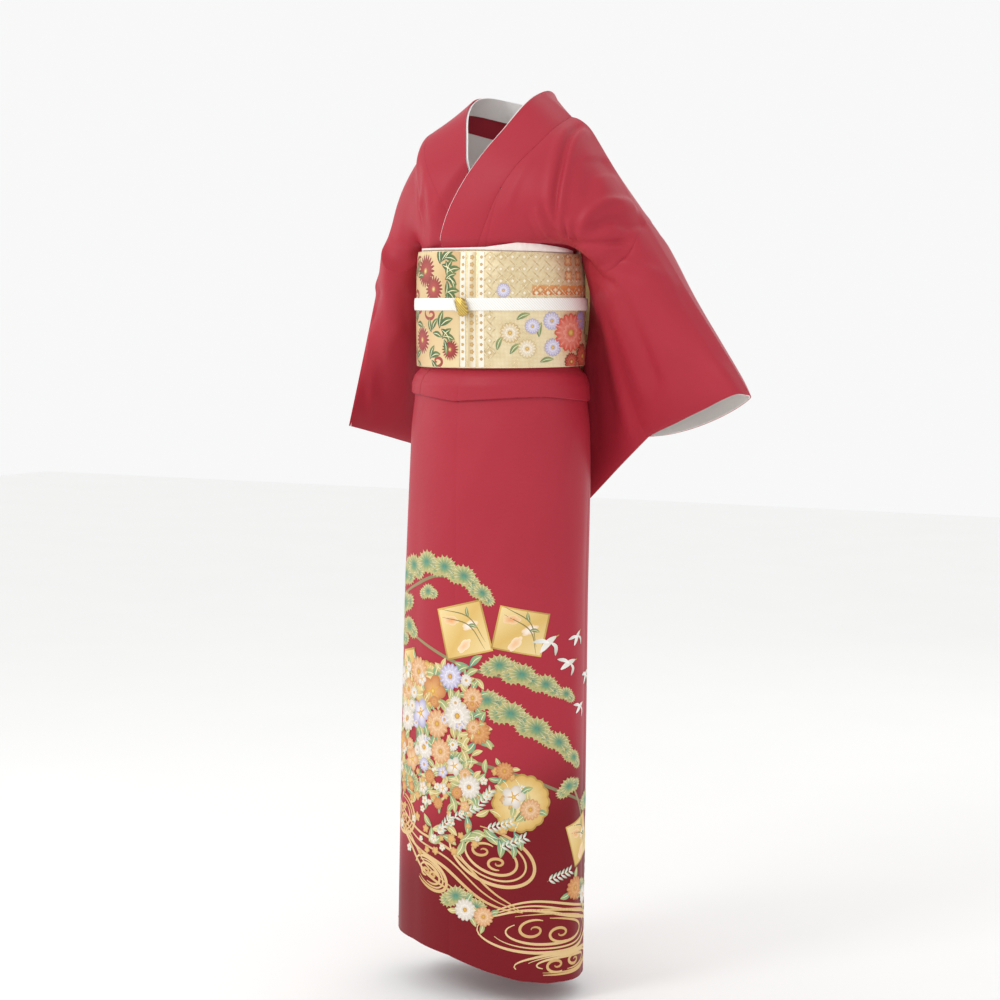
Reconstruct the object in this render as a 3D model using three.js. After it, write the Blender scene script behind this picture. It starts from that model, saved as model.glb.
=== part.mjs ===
// A tomesode kimono with its tied sash, in the hollow form that it has when worn.
// Millimetres, +Z up. +X is the wearer's left and -Y the front. The origin lies between
// the shoulders, at the height of the top of the shoulders beside the neck.
// The cloth pieces are thin walls on surfaces stretched between a few named lines.
import * as THREE from "three";

// ------------------------------------------------------------ driving sizes
const SILK = 1.4;              // kimono silk with its own lining
const COLLAR_SILK = 2.0;       // collar strip, folded in half
const WHITE_SILK = 1.0;        // white false under-layer at the collar and cuffs
const BROCADE = 2.0;           // sash, folded in half
const CREPE = 1.2;             // soft sash scarf
const BRAID = 2.4;             // flat sash cord
const SEAM_GAP = 0.3;          // parting between two pieces at a seam

const SIDE_SEAM = 12;          // degrees from +X, left side, towards the back
const ARMPIT_HALF_GAP = 3;     // degrees from the side seam to each end of the sleeve seam
const WAIST_TOP = -206;        // height where the bodice reaches the sash
const TUCK_RETURN = 2.4;       // between the two walls of the folded waist tuck
const UNDER_LAP = 6.5;         // depth of the right front below the left one, above the waist
const UNDER_TUCK_LAP = 2.6;    // the same below the sash
const UNDER_SKIRT_LAP = 2.8;   // depth of the right skirt front below the left one
const FRONT_EDGE = -151;       // degrees, front edge of the outer skirt
const UNDER_EDGE = -30;        // degrees, front edge of the skirt layer below it

const CHEST_ROWS = 9;          // rows from the shoulder to the sash
const SHOULDER_COLUMNS = 9;    // columns from the neck to the sleeve seam
const NAPE_COLUMNS = 3;        // columns from the centre back to the neck point
const OVERLAP_TOP_ROW = 6;     // row where the overlap strip starts beside the collar
const SLEEVE_COLUMNS = 9;      // from the sleeve seam to the cuff
const FREE_EDGE_ROWS = 7;      // rows of the sleeve's open inner edge, below the armpit
const CUFF_OPEN_ROWS = 8;      // rows of the open cuff, of all the sleeve's rows
const COLLAR_BOW = 3.6;        // how far the collar's middle stands forward at the sash
const FOLD_REACH = 0.08;       // share of a fold's length over which its ends fade

// Outlines round the body at each height: half width a, half depth b, centre cx, cy.
const BODY_RINGS = [           // middle of the outer cloth above the waist and in the tuck
  { z: -206, a: 131.5, b: 92, cx: 0, cy: 0 },
  { z: -216, a: 128.4, b: 89, cx: 0, cy: 0 },
  { z: -300, a: 132.8, b: 92.3, cx: 0, cy: 0 },
  { z: -396, a: 132, b: 91.5, cx: 0, cy: 0 },
  { z: -400, a: 135, b: 94.5, cx: 0, cy: 0 },
  { z: -407, a: 142, b: 101.5, cx: 0, cy: 0 },
  { z: -420, a: 146.5, b: 106.5, cx: 0, cy: 0 },
  { z: -446, a: 147.5, b: 107.5, cx: 0, cy: 0 },
];
const SKIRT_RINGS = [          // middle of the outer skirt cloth
  { z: -372, a: 126.8, b: 86.3, cx: 0, cy: 0 },
  { z: -396, a: 126.8, b: 86.3, cx: 0, cy: 0 },
  { z: -400, a: 129.8, b: 89.3, cx: 0, cy: 0 },
  { z: -407, a: 136.8, b: 96.3, cx: 0, cy: 0 },
  { z: -420, a: 141.3, b: 101.3, cx: 0, cy: 0 },
  { z: -446, a: 143, b: 103, cx: 0, cy: 0 },
  { z: -485, a: 147.5, b: 108.5, cx: 0, cy: 0 },
  { z: -560, a: 149.5, b: 112, cx: -0.5, cy: -1 },
  { z: -740, a: 151.5, b: 113, cx: -3, cy: -8 },
  { z: -1000, a: 154.5, b: 113, cx: -5, cy: -14 },
  { z: -1345, a: 157, b: 112, cx: -8, cy: -20 },
];
const SASH_RINGS = [           // outer face of the sash
  { z: -212, a: 137, b: 97.3, cx: 0, cy: 0 },
  { z: -250, a: 140, b: 99.8, cx: 0, cy: 0 },
  { z: -300, a: 141, b: 100.5, cx: 0, cy: 0 },
  { z: -396, a: 140.2, b: 99.8, cx: 0, cy: 0 },
];

// Heights round the body, by the angle from +X.
const HEM_HEIGHTS = [          // outer layer and back
  { angle: -152, z: -1287 },
  { angle: -122, z: -1291 },
  { angle: -94, z: -1301 },
  { angle: -70, z: -1319 },
  { angle: -50, z: -1332 },
  { angle: -30, z: -1339 },
  { angle: 12, z: -1341 },
  { angle: 110, z: -1338 },
  { angle: 168, z: -1308 },
];
const UNDER_HEM_HEIGHTS = [    // layer below, from the right side seam
  { angle: 168, z: -1308 },
  { angle: 200, z: -1284 },
  { angle: 250, z: -1286 },
  { angle: 330, z: -1312 },
];
const TUCK_HEIGHTS = [         // lowest line of the waist tuck
  { angle: -158, z: -434 },
  { angle: -130, z: -436 },
  { angle: -98, z: -444 },
  { angle: -58, z: -437.5 },
  { angle: -38, z: -436 },
  { angle: 8, z: -445 },
  { angle: 90, z: -441 },
  { angle: 202, z: -434 },
];

// Seams that slant below the sash: angle at the sash top and in the waist tuck.
const COLLAR_EDGE = [
  { z: -206, angle: -114.5 },
  { z: -395, angle: -152 },
  { z: -446, angle: -157.6 },
];
const COLLAR_SEAM = [
  { z: -206, angle: -83.7 },
  { z: -395, angle: -128 },
  { z: -446, angle: -132 },
];
const OVERLAP_SEAM = [
  { z: -206, angle: -77.3 },
  { z: -395, angle: -94 },
  { z: -446, angle: -95.5 },
];
const UNDER_COLLAR_SEAM = 263.7;         // degrees, the right collar's outer seam
const UNDER_COLLAR_TURN = 30.8;          // degrees, its width at the sash
const UNDER_TUCK_END = 206;              // degrees, end of the right front's waist tuck
const UNDER_OVERLAP_SEAM = 266;          // degrees, seam of the right overlap on the skirt

// Named lines of the bodice and sleeves: x, y, z.
const LEFT = {
  side: 1,
  shoulder: [[114, 20, -11.5], [130, 19, -17], [148, 18, -31], [166, 17, -56], [176, 16, -71],
    [210, 14, -121], [245, 12, -172]],
  arm: [[245, 12, -172], [280, 9.5, -223], [323, 7, -286], [374, 3.5, -357], [407, 1, -403.5],
    [424, 0, -430]],
  napeSeam: [[0, 128, -42], [55, 112, -38], [100, 60, -20], [114, 20, -11.5]],
  collarSeam: [[114, 20, -11.5], [113.5, -30, -31], [103, -62, -56], [76, -90, -94],
    [49, -99, -138], [24, -98, -190], [14.4, -91.4, -206]],
  collarEdge: [[0, 112, 12], [44, 95, 24], [58, 55, 32], [61, 15, 25], [60.5, -28, 6],
    [41.5, -60, -33], [19, -84, -70], [-7, -97, -111], [-31, -101, -154], [-49, -95, -192],
    [-54.5, -83.7, -206]],
  frontSeam: [[245, 12, -172], [250, -26, -200], [232, -42, -236], [196, -34, -248], [160, -8, -226]],
  backSeam: [[245, 12, -172], [258, 46, -200], [244, 72, -234], [205, 80, -246], [166, 54, -219]],
  frontFree: [[134, 42, -240], [128, 61, -268], [122, 72, -305], [114, 80, -365], [98, 94, -432],
    [30, 132, -478]],
  backFree: [[140, 54, -240], [140, 73, -268], [135, 85, -305], [125, 91, -365], [108, 101, -430],
    [30, 132, -478]],
  cuffFront: [[424, 0, -430], [413, -22, -428], [388, -20, -437], [357, -6, -450], [326, 8, -462],
    [294, 23, -475], [261, 38, -487.5], [230.5, 55, -500]],
  cuffBack: [[424, 0, -430], [414, 22, -436], [392, 33, -449], [362, 40, -464], [330, 47, -477],
    [296, 53, -488], [262, 58, -496], [230.5, 55, -500]],
  cuffSewn: [[230.5, 55, -500], [170, 82, -547], [108, 110, -597], [58, 140, -632], [10, 165, -655]],
  bottom: [[30, 132, -478], [20, 146, -540], [12, 158, -600], [10, 165, -655]],
  chestFull: 10,
  sleeveFull: 7,
};
const RIGHT = {
  side: -1,
  shoulder: [[-108, 18, -20], [-120, 14.5, -27], [-139, 12.5, -51], [-164, 10.5, -81],
    [-187, 8, -122], [-200, 7, -164], [-209, 6, -193]],
  arm: [[-209, 6, -193], [-226, 5, -253], [-254, 3, -370], [-284, 0, -494]],
  napeSeam: [[0, 128, -42], [-54, 112, -39], [-96, 60, -25], [-108, 18, -20]],
  collarSeam: [[-108, 18, -20], [-109, -28, -34], [-100, -60, -60], [-75, -88, -97],
    [-49, -97, -139], [-24, -97, -190], [-14.4, -91.4, -206]],
  collarEdge: [[0, 112, 12], [-43, 95, 22], [-58, 55, 26], [-60.8, 20, 18], [-46, -25, -8],
    [-26, -60, -48], [-13.5, -80, -82], [0, -92, -118], [26, -97, -164], [54.5, -83.7, -206]],
  frontSeam: [[-209, 6, -193], [-202, -26, -214], [-184, -42, -240], [-160, -30, -246],
    [-146, -4, -228]],
  backSeam: [[-209, 6, -193], [-220, 38, -214], [-214, 66, -238], [-190, 72, -246], [-158, 52, -222]],
  frontFree: [[-138, 38, -246], [-142, 72, -284], [-149, 112, -328], [-152, 158, -388],
    [-152, 200, -465]],
  backFree: [[-143, 52, -246], [-160, 84, -280], [-170, 124, -324], [-170, 166, -386],
    [-152, 200, -465]],
  cuffFront: [[-284, 0, -494], [-279, 44, -503], [-268, 78, -512], [-256, 108, -521],
    [-243, 134, -530], [-232, 158, -545]],
  cuffBack: [[-284, 0, -494], [-292, 52, -499], [-286, 92, -507], [-272, 124, -517],
    [-254, 147, -529], [-232, 158, -545]],
  cuffSewn: [[-232, 158, -545], [-220, 176, -620], [-206, 188, -700], [-200, 192, -770]],
  bottom: [[-152, 200, -465], [-158, 208, -570], [-172, 204, -680], [-200, 192, -770]],
  crease: [[-139, 12.5, -51], [-146, -12, -89], [-126, -42, -138], [-112, -54, -172],
    [-104, -56, -206]],
  creaseAt: [0.22, 0.5],
  chestFull: 3,
  sleeveFull: 7,
};

// Largest folds: a line from one point to another on the front, its half width and its height
// (below zero it is a trough).
const FRONT_FOLDS = [
  { from: [134, -2, -22], to: [130, -78, -204], wide: 7, high: -4 },
  { from: [146, -6, -30], to: [139, -74, -204], wide: 9, high: 4 },
  { from: [141, -62, -207], to: [250, -42, -205], wide: 11, high: -9 },
  { from: [150, -75, -190], to: [232, -52, -158], wide: 10, high: 5 },
  { from: [158, -45, -232], to: [235, -30, -262], wide: 10, high: -6 },
  { from: [-140, -22, -95], to: [-106, -60, -206], wide: 8, high: -4 },
  { from: [-76, -46, -52], to: [-78, -82, -190], wide: 9, high: 3 },
  { from: [-203, -20, -222], to: [-182, -10, -305], wide: 6, high: 4 },
  { from: [-212, -15, -250], to: [-176, 0, -356], wide: 6, high: 4 },
];

// ------------------------------------------------------------ small vector helpers
const plus = (p, q, share = 1) => [p[0] + q[0] * share, p[1] + q[1] * share, p[2] + q[2] * share];
const minus = (p, q) => plus(p, q, -1);
const between = (p, q, share) => plus(p, minus(q, p), share);
const dot = (p, q) => p[0] * q[0] + p[1] * q[1] + p[2] * q[2];
const size = (p) => Math.hypot(p[0], p[1], p[2]);
const scaled = (p, factor) => p.map((value) => value * factor);
const unit = (p) => scaled(p, 1 / (size(p) || 1));
const cross = (p, q) => [
  p[1] * q[2] - p[2] * q[1],
  p[2] * q[0] - p[0] * q[2],
  p[0] * q[1] - p[1] * q[0],
];
const radians = (degrees) => (degrees * Math.PI) / 180;
const spread = (count) => Array.from({ length: count + 1 }, (_, i) => i / count);
const mirrored = (angle) => 180 - angle;

function smoothStep(low, high, value) {
  const share = Math.min(1, Math.max(0, (value - low) / (high - low)));
  return share * share * (3 - 2 * share);
}

// Straight-line reading of a table whose rows are sorted by the column `key`.
function readTable(rows, key, value) {
  const rising = rows.at(-1)[key] > rows[0][key];
  const past = (row) => (rising ? row[key] >= value : row[key] <= value);
  const next = Math.max(1, rows.findIndex(past));
  const last = rows.some(past) ? next : rows.length - 1;
  const [low, high] = [rows[last - 1], rows[last]];
  const share = Math.min(1, Math.max(0, (value - low[key]) / (high[key] - low[key])));
  const read = {};
  for (const name of Object.keys(low)) read[name] = low[name] + (high[name] - low[name]) * share;
  return read;
}

// A smooth line through points (uniform Catmull-Rom), read by the share of its length.
function lineThrough(points) {
  const steps = 12;
  const dense = [];
  for (let i = 0; i < points.length - 1; i++) {
    const [p, q] = [points[i], points[i + 1]];
    const before = points[i - 1] ?? plus(p, minus(p, q));
    const after = points[i + 2] ?? plus(q, minus(q, p));
    for (let k = 0; k < steps; k++) {
      const t = k / steps;
      dense.push(p.map((_, c) => 0.5 * (2 * p[c] + (q[c] - before[c]) * t
        + (2 * before[c] - 5 * p[c] + 4 * q[c] - after[c]) * t * t
        + (3 * p[c] - before[c] - 3 * q[c] + after[c]) * t * t * t)));
    }
  }
  dense.push(points.at(-1));
  const reach = [0];
  for (let i = 1; i < dense.length; i++) reach.push(reach[i - 1] + size(minus(dense[i], dense[i - 1])));
  return (share) => {
    const goal = Math.min(1, Math.max(0, share)) * reach.at(-1);
    const next = Math.max(1, reach.findIndex((value) => value >= goal - 1e-9));
    const part = (goal - reach[next - 1]) / (reach[next] - reach[next - 1]);
    return between(dense[next - 1], dense[next], part);
  };
}

// Two lines read one after the other, the first up to `joint`.
function joined(first, second, joint) {
  return (share) => (share <= joint ? first(share / joint) : second((share - joint) / (1 - joint)));
}

// A surface stretched between four lines (a Coons patch): top and bottom by u, sides by v.
function stretched(top, bottom, left, right) {
  const corners = [top(0), top(1), bottom(0), bottom(1)];
  return (u, v) => {
    const [t, b, l, r] = [top(u), bottom(u), left(v), right(v)];
    return t.map((_, c) => (1 - v) * t[c] + v * b[c] + (1 - u) * l[c] + u * r[c]
      - (1 - u) * (1 - v) * corners[0][c] - u * (1 - v) * corners[1][c]
      - (1 - u) * v * corners[2][c] - u * v * corners[3][c]);
  };
}

// A point on a ring table at an angle and height, `inset` mm inside it.
function onRing(rings, angle, z, inset = 0) {
  const ring = readTable(rings, "z", z);
  const turn = radians(angle);
  return [ring.cx + (ring.a - inset) * Math.cos(turn), ring.cy + (ring.b - inset) * Math.sin(turn), z];
}

function wrapAngle(angle) {
  return ((((angle + 156) % 360) + 360) % 360) - 156;
}

const tuckHeight = (angle) => readTable(TUCK_HEIGHTS, "angle", wrapAngle(angle)).z;
const hemHeight = (angle) => readTable(HEM_HEIGHTS, "angle", angle).z;
const underHemHeight = (angle) => readTable(UNDER_HEM_HEIGHTS, "angle", angle).z;

// ------------------------------------------------------------ walls on grids of points
const middleOf = (rows) => rows[Math.floor(rows.length / 2)];
const centreOf = (grid) => middleOf(middleOf(grid));

// A cloth grid: rows of points, and the outward direction at each of them.
function withDirections(points, inside) {
  const rows = points.length;
  const columns = points[0].length;
  const directions = points.map((row, i) => row.map((_, j) => {
    const down = minus(points[Math.min(i + 1, rows - 1)][j], points[Math.max(i - 1, 0)][j]);
    const along = minus(points[i][Math.min(j + 1, columns - 1)], points[i][Math.max(j - 1, 0)]);
    return unit(cross(along, down));
  }));
  const outward = Math.sign(dot(centreOf(directions), minus(centreOf(points), inside)));
  return { points, directions: directions.map((row) => row.map((way) => scaled(way, outward))) };
}

const placeKey = (point) => point.map((value) => Math.round(value * 50)).join(",");

// Pieces that meet at a seam share one outward direction along it.
function shareSeams(pieces) {
  const sums = new Map();
  for (const { points, directions } of pieces) {
    points.forEach((row, i) => row.forEach((point, j) => {
      const key = placeKey(point);
      sums.set(key, plus(sums.get(key) ?? [0, 0, 0], directions[i][j]));
    }));
  }
  for (const { points, directions } of pieces) {
    points.forEach((row, i) => row.forEach((point, j) => {
      const sum = sums.get(placeKey(point));
      if (size(sum) > 0.05) directions[i][j] = unit(sum);
    }));
  }
}

// How far a point is raised by the folds of a table.
function foldHeight(folds, point) {
  let height = 0;
  for (const { from, to, wide, high } of folds) {
    const line = minus(to, from);
    const along = dot(minus(point, from), line) / dot(line, line);
    const share = Math.min(1, Math.max(0, along));
    const away = size(minus(point, plus(from, line, share))) / wide;
    const start = smoothStep(-FOLD_REACH, 2 * FOLD_REACH, along);
    const end = smoothStep(1 + FOLD_REACH, 1 - 2 * FOLD_REACH, along);
    height += high * Math.exp(-away * away) * start * end;
  }
  return height;
}

// Raises the folds of a table on a piece, but not on its first row, the shoulder line.
function fold(piece, folds) {
  piece.points = piece.points.map((row, i) => row.map((point, j) => {
    const height = i === 0 ? 0 : foldHeight(folds, point);
    return plus(point, piece.directions[i][j], height);
  }));
}

// The grid's points with those on its edges drawn back by half a seam gap, square to the seam.
function drawnBack({ points, directions }) {
  const [lastRow, lastColumn] = [points.length - 1, points[0].length - 1];
  const at = (i, j) => points[Math.min(Math.max(i, 0), lastRow)][Math.min(Math.max(j, 0), lastColumn)];
  return points.map((row, i) => row.map((point, j) => {
    const across = (way, way2) => {
      const out = directions[i][j];
      const seam = unit(plus(way2, out, -dot(way2, out)));
      const flat = plus(plus(way, out, -dot(way, out)), seam, -dot(way, seam));
      return size(flat) > SEAM_GAP ? unit(flat) : [0, 0, 0];
    };
    const alongRow = minus(at(i, j + 1), at(i, j - 1));
    const alongColumn = minus(at(i + 1, j), at(i - 1, j));
    let moved = point;
    const draw = (neighbour, seam) => {
      moved = plus(moved, across(minus(neighbour, point), seam), SEAM_GAP / 2);
    };
    if (i === 0) draw(points[1][j], alongRow);
    if (i === lastRow) draw(points[lastRow - 1][j], alongRow);
    if (j === 0) draw(row[1], alongColumn);
    if (j === lastColumn) draw(row[lastColumn - 1], alongColumn);
    return moved;
  }));
}

// Of two points, whether the first is the higher one (or the one farther along +X, then +Y).
const isHigher = ([x, y, z], [x2, y2, z2]) => (z - z2 || x - x2 || y - y2) > 0;

// The closed wall of a piece: its points moved out and in by half the thickness, and a rim
// round the cells that `keep` leaves.
function wall(piece, thickness, keep = () => true) {
  const { points, directions } = piece;
  const rows = points.length;
  const columns = points[0].length;
  const positions = [];
  for (const side of [0.5, -0.5]) {
    drawnBack(piece).forEach((row, i) => row.forEach((point, j) => {
      positions.push(...plus(point, directions[i][j], side * thickness));
    }));
  }
  const number = (i, j, side) => side * rows * columns + i * columns + j;
  const held = (i, j) => i >= 0 && j >= 0 && i < rows - 1 && j < columns - 1 && keep(i, j);
  const faces = [];
  const quad = (a, b, c, d) => faces.push(a, b, c, a, c, d);
  for (let i = 0; i < rows - 1; i++) {
    for (let j = 0; j < columns - 1; j++) {
      if (!held(i, j)) continue;
      const corners = [[i, j], [i, j + 1], [i + 1, j + 1], [i + 1, j]];
      const [a, b, c, d] = corners;
      const span = ([r, k], [r2, k2]) => size(minus(points[r][k], points[r2][k2]));
      const [first, ...rest] = span(a, c) <= span(b, d) ? [a, b, c, d] : [b, c, d, a];
      quad(...[first, ...rest].map(([r, k]) => number(r, k, 0)));
      quad(...[first, ...rest.reverse()].map(([r, k]) => number(r, k, 1)));
      const beyond = [[i - 1, j], [i, j + 1], [i + 1, j], [i, j - 1]];
      beyond.forEach(([r, c], side) => {
        if (held(r, c)) return;
        const [p, q] = [corners[side], corners[(side + 1) % 4]];
        const rim = [number(...q, 0), number(...p, 0), number(...p, 1), number(...q, 1)];
        const pFirst = isHigher(points[p[0]][p[1]], points[q[0]][q[1]]);
        quad(...(pFirst ? [rim[1], rim[2], rim[3], rim[0]] : rim));
      });
    }
  }
  return closedGeometry(positions, faces);
}

// Drops unused points and turns the faces outwards.
function closedGeometry(positions, faces) {
  const used = [...new Set(faces)];
  const place = new Map(used.map((old, index) => [old, index]));
  const kept = used.flatMap((old) => positions.slice(old * 3, old * 3 + 3));
  const point = (index) => positions.slice(index * 3, index * 3 + 3);
  let volume = 0;
  for (let f = 0; f < faces.length; f += 3) {
    volume += dot(point(faces[f]), cross(point(faces[f + 1]), point(faces[f + 2])));
  }
  const turned = faces.map((old) => place.get(old));
  const geometry = new THREE.BufferGeometry();
  geometry.setAttribute("position", new THREE.Float32BufferAttribute(kept, 3));
  geometry.setIndex(volume < 0 ? turned.reverse() : turned);
  geometry.computeVertexNormals();
  return geometry;
}

// ------------------------------------------------------------ materials
function cloth(color, roughness, metalness = 0) {
  return new THREE.MeshStandardMaterial({ color, roughness, metalness });
}
const crimsonSilk = () => cloth(0xb0404d, 0.55);
const whiteSilk = () => cloth(0xf4f0ec, 0.6);
const goldBrocade = () => cloth(0xd8c69c, 0.45, 0.3);
const paleCrepe = () => cloth(0xefe4de, 0.8);
const whiteBraid = () => cloth(0xf2efe6, 0.7);
const goldBraid = () => cloth(0xc9a558, 0.4, 0.5);

function named(name, geometry, material) {
  const mesh = new THREE.Mesh(geometry, material);
  mesh.name = name;
  return mesh;
}

// ------------------------------------------------------------ bodice
const chestShares = spread(CHEST_ROWS);
const shoulderShares = spread(SHOULDER_COLUMNS);
const napeJoint = NAPE_COLUMNS / (NAPE_COLUMNS + SHOULDER_COLUMNS);

function sideAngle(body, angle) {
  return body.side > 0 ? angle : mirrored(angle);
}

function armpit(body, frontOrBack) {
  const outside = 4.5;
  const angle = SIDE_SEAM - frontOrBack * ARMPIT_HALF_GAP;
  return onRing(BODY_RINGS, sideAngle(body, angle), WAIST_TOP, -outside);
}

// A line that ends at the armpit of a front (1) or a back (-1).
const sleeveSeam = (body, rows, frontOrBack) => lineThrough([...rows, armpit(body, frontOrBack)]);

// A line round the body at the sash top, from one angle to another; its far end is the armpit.
function waistLine(body, fromAngle, frontOrBack) {
  const end = armpit(body, frontOrBack);
  const toAngle = SIDE_SEAM - frontOrBack * ARMPIT_HALF_GAP;
  return (u) => {
    const angle = fromAngle + (toAngle - fromAngle) * u;
    const point = onRing(BODY_RINGS, sideAngle(body, angle), WAIST_TOP);
    return between(point, end, smoothStep(0.85, 1, u));
  };
}

function frontSurface(body) {
  const collarAngle = readTable(COLLAR_SEAM, "z", WAIST_TOP).angle;
  const flat = stretched(
    lineThrough(body.shoulder),
    waistLine(body, collarAngle, 1),
    lineThrough(body.collarSeam),
    sleeveSeam(body, body.frontSeam, 1),
  );
  const creased = body.crease ? throughCrease(flat, body) : flat;
  return (u, v) => {
    const full = body.chestFull * Math.sin(Math.PI * u) * Math.sin(Math.PI * v);
    return plus(creased(u, v), [0.3 * full * body.side, -full, 0]);
  };
}

// The surface drawn on to a crease line that runs from the shoulder to the sash.
function throughCrease(surface, body) {
  const line = lineThrough(body.crease);
  const place = (v) => body.creaseAt[0] + (body.creaseAt[1] - body.creaseAt[0]) * v;
  const away = (v) => minus(line(v), surface(place(v), v));
  const [top, bottom] = [away(0), away(1)];
  return (u, v) => {
    const at = place(v);
    const near = u < at ? smoothStep(0, at, u) : 1 - ((u - at) / (1 - at)) ** 4;
    return plus(surface(u, v), minus(away(v), between(top, bottom, v)), near);
  };
}

function backSurface(body) {
  const flat = stretched(
    joined(lineThrough(body.napeSeam), lineThrough(body.shoulder), napeJoint),
    waistLine(body, 90, -1),
    lineThrough([[0, 128, -42], [0, 127, -90], [0, 112, -155], [0, 92, WAIST_TOP]]),
    sleeveSeam(body, body.backSeam, -1),
  );
  return (u, v) => {
    const full = body.chestFull * Math.sin(Math.PI * u) * Math.sin(Math.PI * v);
    return plus(flat(u, v), [0.2 * full * body.side, full, 0]);
  };
}

// Rows below the sash top: height of each, and how far inside the outer tuck wall it lies.
function tuckRows(angle) {
  const lowest = tuckHeight(angle);
  return [
    { z: -216, inset: 0 },
    { z: -258, inset: 0 },
    { z: -300, inset: 0 },
    { z: -348, inset: 0 },
    { z: -396, inset: 0 },
    { z: -400, inset: 0 },
    { z: -407, inset: 0 },
    { z: -420, inset: 0 },
    { z: lowest + 5, inset: 0 },
    { z: lowest, inset: TUCK_RETURN / 2 },
    { z: lowest + 5, inset: TUCK_RETURN },
    { z: -420, inset: TUCK_RETURN },
    { z: -407, inset: TUCK_RETURN },
    { z: -400, inset: TUCK_RETURN },
    { z: -396, inset: TUCK_RETURN },
    { z: -384, inset: TUCK_RETURN },
  ];
}
const TUCK_ROW_COUNT = tuckRows(0).length;
const OPEN_TUCK_ROWS = 9;      // rows before the fold at the lowest line

// Points below the sash for columns whose angles are given by `angleAt(j, z)`.
function tuckPoints(columns, angleAt, lap = () => 0, rowCount = TUCK_ROW_COUNT) {
  return Array.from({ length: rowCount }, (_, i) => Array.from({ length: columns + 1 }, (__, j) => {
    const roughZ = tuckRows(0)[i].z;
    const angle = angleAt(j / columns, roughZ);
    const row = tuckRows(angle)[i];
    return onRing(BODY_RINGS, angle, row.z, row.inset + lap(angle, row.z));
  }));
}

// The overlap seam's share of the front's width, from its pointed top down to the sash.
function overlapShare(v) {
  const [from, to] = [COLLAR_SEAM, OVERLAP_SEAM].map((table) => readTable(table, "z", WAIST_TOP).angle);
  const width = (to - from) / (SIDE_SEAM - ARMPIT_HALF_GAP - from);
  const top = OVERLAP_TOP_ROW / CHEST_ROWS;
  return v < top - 1e-6 ? 0 : 0.006 + (width - 0.006) * ((v - top) / (1 - top));
}

const angleOn = (table, z) => readTable(table, "z", z).angle;

function leftFront(surface) {
  const chest = chestShares.map((v) => shoulderShares.map((share) => {
    const edge = overlapShare(v);
    return surface(edge + (1 - edge) * share, v);
  }));
  const angleAt = (share, z) => (
    angleOn(OVERLAP_SEAM, z) + (SIDE_SEAM - angleOn(OVERLAP_SEAM, z)) * share);
  return [...chest, ...tuckPoints(SHOULDER_COLUMNS, angleAt)];
}

function leftOverlap(surface) {
  const columns = 3;
  const chest = chestShares.slice(OVERLAP_TOP_ROW).map((v) => (
    spread(columns).map((share) => surface(overlapShare(v) * share, v))));
  const angleAt = (share, z) => (
    angleOn(COLLAR_SEAM, z) + (angleOn(OVERLAP_SEAM, z) - angleOn(COLLAR_SEAM, z)) * share);
  return [...chest, ...tuckPoints(columns, angleAt)];
}

// How deep the right front lies below the left one, by angle and height.
function underLap(angle, z) {
  const edge = angleOn(COLLAR_EDGE, z) + 360;
  const depth = z > -370 ? UNDER_LAP : UNDER_TUCK_LAP;
  return depth * smoothStep(edge - 24, edge - 5, angle);
}

// On the chest the right front sinks below the line of the left collar's inner edge.
function sunk(point) {
  const edge = LEFT.collarEdge.map(([x, y, z]) => ({ x, y, z })).slice(4);
  const edgeX = readTable(edge, "z", point[2]).x;
  return plus(point, [0, UNDER_LAP * smoothStep(-34, -4, point[0] - edgeX), 0]);
}

function rightFront(surface) {
  const chest = chestShares.map((v) => shoulderShares.map((share) => sunk(surface(share, v))));
  const angleAt = (share) => {
    const column = Math.round(share * SHOULDER_COLUMNS);
    const last = SHOULDER_COLUMNS - 4;
    return column <= last
      ? UNDER_COLLAR_SEAM + (UNDER_TUCK_END - UNDER_COLLAR_SEAM) * (column / last)
      : UNDER_TUCK_END + (mirrored(SIDE_SEAM) - UNDER_TUCK_END) * ((column - last) / 4);
  };
  return [...chest, ...tuckPoints(SHOULDER_COLUMNS, angleAt, underLap)];
}

// The right front's waist tuck is kept only beside the side seam; elsewhere the cloth ends
// below the sash.
function rightFrontKeeps(i, j) {
  return i < CHEST_ROWS + 2 || j >= SHOULDER_COLUMNS - 4;
}

function backPanel(body, surface) {
  const columns = NAPE_COLUMNS + SHOULDER_COLUMNS;
  const chest = chestShares.map((v) => spread(columns).map((u) => surface(u, v)));
  const angleAt = (share) => sideAngle(body, 90 + (SIDE_SEAM - 90) * share);
  return [...chest, ...tuckPoints(columns, angleAt)];
}

// The collar band: along the neck from the nape, down the front, and on below the sash.
function collarBand(body, surface) {
  const across = spread(2);
  const neckShare = 0.27;
  const nape = lineThrough(body.napeSeam);
  const edge = lineThrough(body.collarEdge);
  const rows = [];
  for (const share of spread(NAPE_COLUMNS).slice(0, -1)) {
    rows.push(across.map((k) => between(nape(share), edge(share * neckShare), k)));
  }
  for (const v of chestShares) {
    const outer = surface(0, v);
    const inner = edge(neckShare + (1 - neckShare) * v);
    const bow = COLLAR_BOW * smoothStep(0.3, 1, v);
    rows.push(across.map((k) => plus(between(outer, inner, k), [0, -4 * k * (1 - k) * bow, 0])));
  }
  return rows;
}

function leftCollar(surface) {
  const band = collarBand(LEFT, surface);
  const angleAt = (share, z) => (
    angleOn(COLLAR_SEAM, z) + (angleOn(COLLAR_EDGE, z) - angleOn(COLLAR_SEAM, z)) * share);
  return [...band, ...tuckPoints(2, angleAt, () => 0, OPEN_TUCK_ROWS + 1)];
}

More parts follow.
